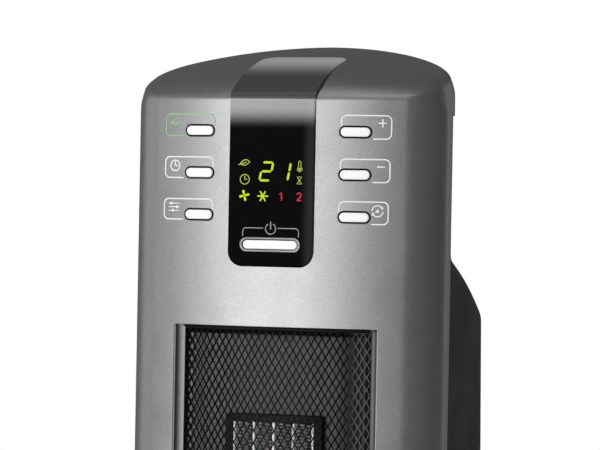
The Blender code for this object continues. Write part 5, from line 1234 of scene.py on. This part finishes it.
lime = bmesh.new()
numeral(lime, (-3.1, -44.3), "abged")
numeral(lime, (8.15, -44.3), "bc")
star, fan = (-5.1, -59.1), (-16.9, -58.9)
for k in range(3):
    bar(lime, on_arc(star, -3.2, 60 * k), on_arc(star, 3.2, 60 * k), SIGN_STROKE)
blade = ((0.5, -30), (1.6, -12), (2.9, -2), (3.5, 12), (3.0, 30), (2.0, 34), (1.0, 42), (0.4, 70))
for k in range(4):
    filled(lime, [on_arc(fan, radius, angle + 90 * k) for radius, angle in blade])
red = bmesh.new()
line(red, [(5.5, -57.9), (6.9, -56.9), (6.9, -61.7)], SIGN_STROKE * MM)
line(red, arc((17.9, -58.3), 1.35, 165, -35, 14) + [(16.6, -61.4), (19.5, -61.4)], SIGN_STROKE * MM)
print("numerals: 2 large, 2 small")

# %% [markdown]
# Round the numerals stand four dimmer signs: a clock, a leaf, a thermometer and an hourglass. All the
# segments are then laid on the strip as films.

# %% Small signs of the display
FINE_LINE = 0.0004
dim = bmesh.new()
clock(dim, (-16.8, -49.2), 2.9, (2.1, 0.2, 0.2, 1.6), THIN_LINE, 36)
leaf(dim, (-19.9, -39.9), 6.2, 1.8, 1.4, [(-21.0, -40.5), (-15.8, -38.9)])
bulb = (18.1, -42.7)
line(dim, arc((18.1, -38.6), 0.75, 0, 180, 10) + arc(bulb, 1.45, 120, 420, 24), FINE_LINE, closed=True)
dot(dim, bulb, 0.85)
line(dim, [(16.5, -47.3), (19.5, -47.3), (16.5, -51.5), (19.5, -51.5)], FINE_LINE, closed=True)
printed("lime_segments", lime, lit_lime, "white_plastic", on_strip)
printed("dim_segments", dim, dim_lime, "white_plastic", on_strip)
printed("red_segments", red, lit_red, "white_plastic", on_strip)
print("dim signs: 4")

# %% [markdown]
# Over the power ring a fine grey bracket reaches out from the standby sign to the ring's ends.

# %% Standby sign and bracket
grey_ink = finish("grey_ink", grey(0.45), grey(0.55), 1500, (0.35, 0.45), 0.02)
STANDBY_X, STANDBY_RING, STANDBY_STROKE = 0.3, 0.00055, 0.0007
standby = bmesh.new()
line(standby, arc((STANDBY_X, -78.6), 3.2, 118, 422, 40), STANDBY_RING)
line(standby, [(STANDBY_X, -74.3), (STANDBY_X, -79.0)], STANDBY_STROKE)
bracket = [(4.6, -78.2)] + arc((15.8, -80.2), 2.0, 90, 0, 8) + [(17.8, -83.4)]
for way in (-1, 1):
    line(standby, [(STANDBY_X + way * x, z) for x, z in bracket], THIN_LINE)
printed("standby_marks", standby, grey_ink, "white_plastic", on_strip)
print("bracket spans", 2 * bracket[-1][0], "mm")

# %% [markdown]
# ## The foot
# The foot is an oval that rises in a soft dome. Its sections are superellipses, which are a little squarer
# than ellipses. They shrink along a smooth curve through a few knots, and a flat ring closes the top down to
# the hole for the post.

# %% Foot cover
FOOT_HALF_WIDTH, FOOT_HALF_DEPTH, FOOT_TOP_Z, PAD_HEIGHT = 0.130, 0.107, 0.030, 0.004
FOOT_POWER, OVAL_STEPS, SIDE_STEPS, POST_HOLE, POST_STEPS = 2.3, 160, 36, 0.0143, 64
foot_knots = ((1.0, 0.0), (1.0, 0.35), (0.985, 0.56), (0.95, 0.72), (0.90, 0.85), (0.83, 0.95), (0.76, 1.0))


def knot_curve(t):
    """A smooth curve through the knots of the foot's side."""
    spot = t * (len(foot_knots) - 1)
    k = min(int(spot), len(foot_knots) - 2)
    f = spot - k
    p = [Vector(foot_knots[min(max(k + d, 0), len(foot_knots) - 1)]) for d in (-1, 0, 1, 2)]
    return 0.5 * (2 * p[1] + (p[2] - p[0]) * f + (2 * p[0] - 5 * p[1] + 4 * p[2] - p[3]) * f ** 2
                  + (3 * p[1] - p[0] - 3 * p[2] + p[3]) * f ** 3)


def oval(i, share):
    """Point i of the foot's outline, shrunk to a share."""
    angle = 2 * pi * i / OVAL_STEPS
    x = FOOT_HALF_WIDTH * share * abs(cos(angle)) ** (2 / FOOT_POWER)
    y = FOOT_HALF_DEPTH * share * abs(sin(angle)) ** (2 / FOOT_POWER)
    return (x if cos(angle) >= 0 else -x), (y if sin(angle) >= 0 else -y)


def foot_place(i, j):
    """Corner of the foot's grid."""
    share, rise = knot_curve(j / SIDE_STEPS)
    return Vector((*oval(i, min(share, 1)), PAD_HEIGHT + (FOOT_TOP_Z - PAD_HEIGHT) * min(rise, 1)))


foot = bent_grid(OVAL_STEPS, SIDE_STEPS, foot_place, closed=True)
half_height = (PAD_HEIGHT + FOOT_TOP_Z) / 2
rim = [edge for edge in foot.edges if edge.is_boundary and edge.verts[0].co.z > half_height]
hole = bmesh.ops.create_circle(foot, segments=POST_STEPS, radius=POST_HOLE)["verts"]
bmesh.ops.translate(foot, vec=(0, 0, FOOT_TOP_Z), verts=hole)
bmesh.ops.bridge_loops(foot, edges=rim + list({edge for vert in hole for edge in vert.link_edges}))
faced_out(foot, (0, 0, 0))
walled(piece("foot_cover", foot, black_moulding, "base", "black_plastic", "base_cover"), WALL)
print("foot is", 2000 * FOOT_HALF_WIDTH, "by", 2000 * FOOT_HALF_DEPTH, "mm")

# %% [markdown]
# Round pieces are turned, as on a lathe: half of their section is spun once round an axis. The tower turns
# on a white slip ring of low friction, and the foot stands on four rubber feet.

# %% Slip ring and rubber feet
RING_OUTER, RING_INNER, RING_LOW_Z, RING_HIGH_Z = 0.076, 0.066, 0.0303, 0.0329
PAD_LOW_RADIUS, PAD_RADIUS, PAD_TOP_Z, PAD_SHARE, PAD_EASE = 0.0081, 0.009, 0.0037, 0.62, 0.0005


def turned(name, outline, material, body, slot, *nodes, axis="Z", place=(0, 0, 0), steps=72):
    """A turned piece: a profile of radius and height, spun once round."""
    lathe = bmesh.new()
    path = bmesh.ops.create_circle(lathe, segments=len(outline), radius=1)["verts"]
    for vert, (radius, height) in zip(path, outline):
        vert.co = Vector((radius, 0, height))
    bmesh.ops.spin(lathe, geom=lathe.verts[:] + lathe.edges[:], cent=(0, 0, 0), axis=(0, 0, 1), angle=2 * pi,
                   steps=steps, use_merge=True)
    bmesh.ops.remove_doubles(lathe, verts=lathe.verts, dist=WELD)
    if axis == "Y":
        bmesh.ops.rotate(lathe, matrix=Matrix.Rotation(-pi / 2, 3, "X"), verts=lathe.verts)
    bmesh.ops.translate(lathe, vec=place, verts=lathe.verts)
    bmesh.ops.recalc_face_normals(lathe, faces=lathe.faces)
    return piece(name, lathe, material, body, slot, *nodes)


slip_outline = [(RING_OUTER, RING_LOW_Z), (RING_OUTER, RING_HIGH_Z), (RING_INNER, RING_HIGH_Z),
                (RING_INNER, RING_LOW_Z)]
turned("slip_bearing", slip_outline, warm_white, "base", "white_plastic", "slip_ring", steps=120)
pad_outline = [(0, 0), (PAD_LOW_RADIUS, 0), (PAD_RADIUS, PAD_TOP_Z), (0, PAD_TOP_Z)]
for k, (way, end) in enumerate(((-1, -1), (1, -1), (1, 1), (-1, 1)), 1):
    spot = (way * FOOT_HALF_WIDTH * PAD_SHARE, end * FOOT_HALF_DEPTH * PAD_SHARE, 0)
    pad = turned("foot_pad_%d" % k, pad_outline, soft_rubber, "base", "rubber", "rubber_foot_%d" % k,
                 place=spot, steps=40)
    eased(pad, PAD_EASE, 2)
print("slip ring is", 2000 * RING_OUTER, "mm wide, rubber feet: 4")

# %% [markdown]
# ## The back's fittings
# The air inlet is a bowed panel with two columns of slots. Each slot comes with its own tile of the panel:
# rings run from the slot's round-ended outline out to the tile's rectangle, and the tiles are welded at
# their edges.

# %% Air inlet
SLOT_ROWS, SLOT_HEIGHT, SLOT_RIB, SLOT_MARGIN = 16, 0.0075, 0.006, 0.006
MIDDLE_Z = (INTAKE_LOW_Z + INTAKE_HIGH_Z) / 2
PANEL_HALF = INTAKE_HALF - FIT
PANEL_LOW, PANEL_HIGH = INTAKE_LOW_Z + FIT, INTAKE_HIGH_Z - FIT
pitch = (INTAKE_HIGH_Z - INTAKE_LOW_Z - 2 * SLOT_MARGIN) / SLOT_ROWS
SLOT_END, SLOT_STEPS, TILE_RINGS = SLOT_HEIGHT / 2, 16, 2
near_end, far_end = SLOT_RIB / 2 + SLOT_END, PANEL_HALF - SLOT_MARGIN - SLOT_END


def quarter(reach_x, reach_z):
    """Slot and tile offsets for a quarter turn about a slot's end; the tile's corner is one of them."""
    corner = atan(reach_z / reach_x)
    turns = [corner * k / 3 for k in range(3)] + [corner + (pi / 2 - corner) * k / 3 for k in range(4)]
    spots = []
    for t in turns:
        out = min(reach_x / max(cos(t), 1e-9), reach_z / max(sin(t), 1e-9))
        spots.append(((SLOT_END * cos(t), SLOT_END * sin(t)), (out * cos(t), out * sin(t))))
    return spots


def tile_of_slot(level, low, high):
    """Slot outline and tile outline, point by point, anticlockwise on the right half of the panel."""
    below, above = level - low, high - level
    pairs = []
    for end, way, first, second in ((far_end, 1, -1, 1), (near_end, -1, 1, -1)):
        reach = PANEL_HALF - far_end if way > 0 else near_end
        for up_way, backwards in ((first, True), (second, False)):
            part = quarter(reach, above if up_way > 0 else below)
            part = part[::-1] if backwards else part[1:]
            pairs += [((end + way * s[0], level + up_way * s[1]), (end + way * t[0], level + up_way * t[1]))
                      for s, t in part]
        other, edge = near_end + far_end - end, high if way > 0 else low
        for k in range(1, SLOT_STEPS):
            x = end + (other - end) * k / SLOT_STEPS
            pairs.append(((x, level + way * SLOT_END), (x, edge)))
    return pairs


panel = bmesh.new()
for row in range(SLOT_ROWS):
    level = INTAKE_LOW_Z + SLOT_MARGIN + pitch * (row + 0.5)
    low = PANEL_LOW if row == 0 else level - pitch / 2
    high = PANEL_HIGH if row == SLOT_ROWS - 1 else level + pitch / 2
    pairs = tile_of_slot(level, low, high)
    for way in (-1, 1):

        def tile_ring(i, j):
            """Corner of a tile: on the slot's outline for j 0 and on the tile's edge for the last j."""
            (sx, sz), (tx, tz) = pairs[i]
            x = way * (sx + (tx - sx) * j / TILE_RINGS)
            return Vector((x, back_y(x, MIDDLE_Z), sz + (tz - sz) * j / TILE_RINGS))

        join(panel, bent_grid(len(pairs), TILE_RINGS, tile_ring, closed=True))
bmesh.ops.remove_doubles(panel, verts=panel.verts, dist=SKIN_WELD)
inlet = piece("inlet_panel", faced_out(panel), black_moulding, "tower", "black_plastic", "intake_grille")
eased(walled(inlet, WALL, even=False), MOULDED_EASE, 2)
print("inlet slots:", 2 * SLOT_ROWS)

# %% [markdown]
# Behind the panel lies the dust filter: a fine net in a frame with ribs. It is a grid again. The cells of
# the frame and the ribs stay whole, and every other cell is inset and loses its middle, which leaves the
# threads.

# %% Filter
FILTER_LAP, FILTER_THICK, THREAD, FILTER_COLUMNS, FILTER_ROWS = 0.004, 0.0009, 0.0004, 44, 94
UPRIGHT_RIBS, LEVEL_RIB_EVERY, FRAME_CELLS = (15, 28), 13, 2
FILTER_HALF, FILTER_LOW = INTAKE_HALF + FILTER_LAP, INTAKE_LOW_Z - FILTER_LAP
FILTER_HEIGHT = INTAKE_HIGH_Z + FILTER_LAP - FILTER_LOW


def filter_place(i, j):
    """Corner of the filter's grid."""
    x = FILTER_HALF * (2 * i / FILTER_COLUMNS - 1)
    z = FILTER_LOW + FILTER_HEIGHT * j / FILTER_ROWS
    return Vector((x, back_y(x, MIDDLE_Z) - WALL - FILTER_THICK, z))


def is_open_cell(face):
    """True away from the filter's frame and its ribs."""
    middle = face.calc_center_median()
    i = round((middle.x / FILTER_HALF + 1) * FILTER_COLUMNS / 2 - 0.5)
    j = round((middle.z - FILTER_LOW) / FILTER_HEIGHT * FILTER_ROWS - 0.5)
    inside = FRAME_CELLS <= i < FILTER_COLUMNS - FRAME_CELLS and FRAME_CELLS <= j < FILTER_ROWS - FRAME_CELLS
    return inside and i not in UPRIGHT_RIBS and j % LEVEL_RIB_EVERY != 1


gauze = bent_grid(FILTER_COLUMNS, FILTER_ROWS, filter_place)
open_cells = [face for face in gauze.faces if is_open_cell(face)]
threads = set(bmesh.ops.inset_individual(gauze, faces=open_cells, thickness=THREAD)["faces"])
bmesh.ops.delete(gauze, geom=[face for face in open_cells if face not in threads], context="FACES")
filter_net = piece("filter_gauze", faced_out(gauze), grey_moulding, "tower", "grey_plastic", "dust_filter")
walled(filter_net, FILTER_THICK, even=False)
print("filter cells:", len(open_cells))

# %% [markdown]
# The hand grip is a cup let into the back of the head: a rounded box, open behind, whose rim follows the
# curved back.

# %% Hand grip
GRIP_DEPTH, GRIP_WALL, GRIP_INNER_CORNER, RIM_ROWS, LEAST_WALL = 0.024, 0.002, 0.004, 3, 0.0005
GRIP_FRONT, GRIP_PARTS = CREASE_Y + HEAD_DEPTH - GRIP_DEPTH, (6, 30)


def grip_outline(inset, corner):
    """The opening's outline, drawn in all round."""
    return round_box(GRIP_HALF - inset, GRIP_LOW_Z + inset, GRIP_HIGH_Z - inset, corner, 8, GRIP_PARTS)


grip_outlines = grip_outline(FIT, GRIP_CORNER), grip_outline(FIT + GRIP_WALL, GRIP_INNER_CORNER)


def grip_place(i, j):
    """Corner of the cup's grid: back along its outside to the rim, and forward again along its inside."""
    inner = j > RIM_ROWS
    x, z = grip_outlines[inner][i]
    start = GRIP_FRONT + (GRIP_WALL if inner else 0)
    rim_y = max(back_y(x, z) - FIT, start + LEAST_WALL)
    share = (2 * RIM_ROWS + 1 - j if inner else j) / RIM_ROWS
    return Vector((x, start + (rim_y - start) * share, z))


cup = bent_grid(len(grip_outlines[0]), 2 * RIM_ROWS + 1, grip_place, closed=True)
bmesh.ops.holes_fill(cup, edges=[edge for edge in cup.edges if edge.is_boundary], sides=0)
bmesh.ops.recalc_face_normals(cup, faces=cup.faces)
eased(piece("hand_grip", cup, black_moulding, "tower", "black_plastic", "grip_cup"), MOULDED_EASE, 2)
print("grip is", round(2000 * GRIP_HALF), "mm wide")

# %% [markdown]
# Four pan-head screws hold the back. Each head carries a thin black cross, painted shade in place of a cross
# recess. The cord's inlet is a tapered rubber bushing.

# %% Screws and cord inlet
SCREW_X, SCREW_HEIGHTS = 0.070, (0.095, 0.420)
HEAD_RADIUS, HEAD_HEIGHT, SHANK_RADIUS, SHANK_LENGTH = 0.0034, 0.0022, 0.0017, 0.012
CROSS_LENGTH, CROSS_WIDTH, CROSS_LIFT, CROSS_EASE = 0.0030, 0.0006, 0.00008, 0.00002
head = [(0, HEAD_HEIGHT), (0.0012, HEAD_HEIGHT), (0.0021, 0.0020), (0.0029, 0.0014), (HEAD_RADIUS, 0.0006),
        (HEAD_RADIUS, 0), (SHANK_RADIUS, 0), (SHANK_RADIUS, -SHANK_LENGTH), (0, -SHANK_LENGTH)]
for k, (x, z) in enumerate([(way * SCREW_X, z) for z in SCREW_HEIGHTS for way in (-1, 1)], 1):
    seat = back_y(abs(x) - HEAD_RADIUS, z) + FIT
    turned("back_screw_%d" % k, head, dark_steel, "tower", "dark_metal", "housing_screw_%d" % k, axis="Y",
           place=(x, seat, z), steps=32)
    # A thin black cross on the head: painted shade where a recess would be.
    cross = bmesh.new()
    for across, tall in ((CROSS_LENGTH, CROSS_WIDTH), (CROSS_WIDTH, CROSS_LENGTH)):
        made = bmesh.ops.create_cube(cross, size=1.0)["verts"]
        bmesh.ops.scale(cross, vec=(across, CROSS_LIFT, tall), verts=made)
        bmesh.ops.translate(cross, vec=(x, seat + HEAD_HEIGHT, z), verts=made)
    eased(piece("cross_painted_shade_%d" % k, cross, soft_rubber, "tower", "rubber"), CROSS_EASE, 1)
GLAND_X, GLAND_Z, BORE, STEM, STEM_DEPTH = 0.038, 0.064, 0.0036, 0.008, 0.005
COLLAR_RADIUS, COLLAR_HEIGHT, SPOUT, BUSHING_EASE = 0.0105, 0.0025, 0.0140, 0.0002
gland = [(0.0056, SPOUT), (0.0062, 0.0120), (0.0058, 0.0108), (0.0066, 0.0096), (0.0062, 0.0084),
         (0.0071, 0.0072), (0.0067, 0.0060), (0.0076, 0.0048), (STEM, COLLAR_HEIGHT),
         (COLLAR_RADIUS, COLLAR_HEIGHT), (COLLAR_RADIUS, 0), (STEM, 0), (STEM, -STEM_DEPTH),
         (BORE, -STEM_DEPTH), (BORE, SPOUT)]
bushing = turned("cord_bushing", gland, soft_rubber, "tower", "rubber", "cord_gland", axis="Y",
                 place=(GLAND_X, back_y(GLAND_X - STEM, GLAND_Z) + FIT, GLAND_Z), steps=48)
eased(bushing, BUSHING_EASE, 2)
print("screws:", 2 * len(SCREW_HEIGHTS), "and a cord bushing")

# %% [markdown]
# ## Floor and light
# A pale floor carries the heater. To the camera it is lifted a little towards the white of the background,
# by a light of its own that only camera rays see, so it adds no light to the heater.

# %% Floor
FLOOR_RADIUS, FLOOR_LIFT = 2.4, 0.42
pale_floor = finish("pale_floor", grey(0.80), grey(0.84), 30, (0.55, 0.65), 0.02)
tree = pale_floor.node_tree
seen = tree.nodes.new("ShaderNodeLightPath").outputs["Is Camera Ray"]
glow = tree.nodes["Principled BSDF"].inputs["Emission Strength"]
tree.links.new(mapped(tree, seen, 0, 1, high=FLOOR_LIFT), glow)
ground = bmesh.new()
bmesh.ops.create_circle(ground, cap_ends=True, segments=96, radius=FLOOR_RADIUS)
floor_mesh = bpy.data.meshes.new("floor")
ground.to_mesh(floor_mesh)
ground.free()
floor_mesh.materials.append(pale_floor)
floor = bpy.data.objects.new("floor", floor_mesh)
bpy.context.scene.collection.objects.link(floor)
print("floor radius", FLOOR_RADIUS, "m")

# %% [markdown]
# The face is nearly a mirror for broad lights, so its bright band shows where the main light stands: a tall
# soft box to the left of the camera. Everything else is dim, which leaves the dome and the right shoulder
# dark. A weak light on the left keeps the left shoulder from going black, one behind draws a thin bright
# rim, and one above lights the roof.

# %% Lamps
LAMP_AIM = Vector((0, 0, 0.45))


def soft_box(name, azimuth, elevation, distance, wide, tall, power):
    """An area lamp in a direction from the heater; azimuth 0 is in front and grows to the right."""
    a, e = radians(azimuth), radians(elevation)
    away = Vector((sin(a) * cos(e), -cos(a) * cos(e), sin(e)))
    data = bpy.data.lights.new(name, "AREA")
    data.shape = "RECTANGLE"
    data.size, data.size_y = wide, tall
    data.energy = power
    lamp = bpy.data.objects.new(name, data)
    lamp.rotation_euler = (-away).to_track_quat("-Z", "Y").to_euler()
    lamp.location = LAMP_AIM + away * distance
    lamp.visible_camera = False
    bpy.context.scene.collection.objects.link(lamp)


soft_box("main_light", -20.5, 6, 2.2, 1.18, 2.4, 33)
soft_box("left_light", -74, 5, 2.4, 2.0, 2.4, 9.5)
soft_box("rim_light", 150, 10, 2.4, 0.5, 2.0, 1.6)
soft_box("top_light", -20, 72, 2.4, 1.6, 1.6, 7)
print("lamps: 4")

# %% [markdown]
# The background is white because the world is white for what the camera sees, while the heater is lit by the
# lamps and by a dim grey room, which its silver mirrors at both sides.

# %% World
world = bpy.data.worlds.new("studio")
bpy.context.scene.world = world
world.use_nodes = True
tree = world.node_tree
tree.nodes.clear()
both = tree.nodes.new("ShaderNodeMixShader")
tree.links.new(tree.nodes.new("ShaderNodeLightPath").outputs["Is Camera Ray"], both.inputs["Fac"])
for socket, tone in ((1, (0.125, 0.125, 0.127)), (2, (1, 1, 1))):
    wall = tree.nodes.new("ShaderNodeBackground")
    wall.inputs["Color"].default_value = (*tone, 1)
    tree.links.new(wall.outputs["Background"], both.inputs[socket])
tree.links.new(both.outputs["Shader"], tree.nodes.new("ShaderNodeOutputWorld").inputs["Surface"])
bpy.context.scene.view_settings.view_transform = "Standard"
print("world set")
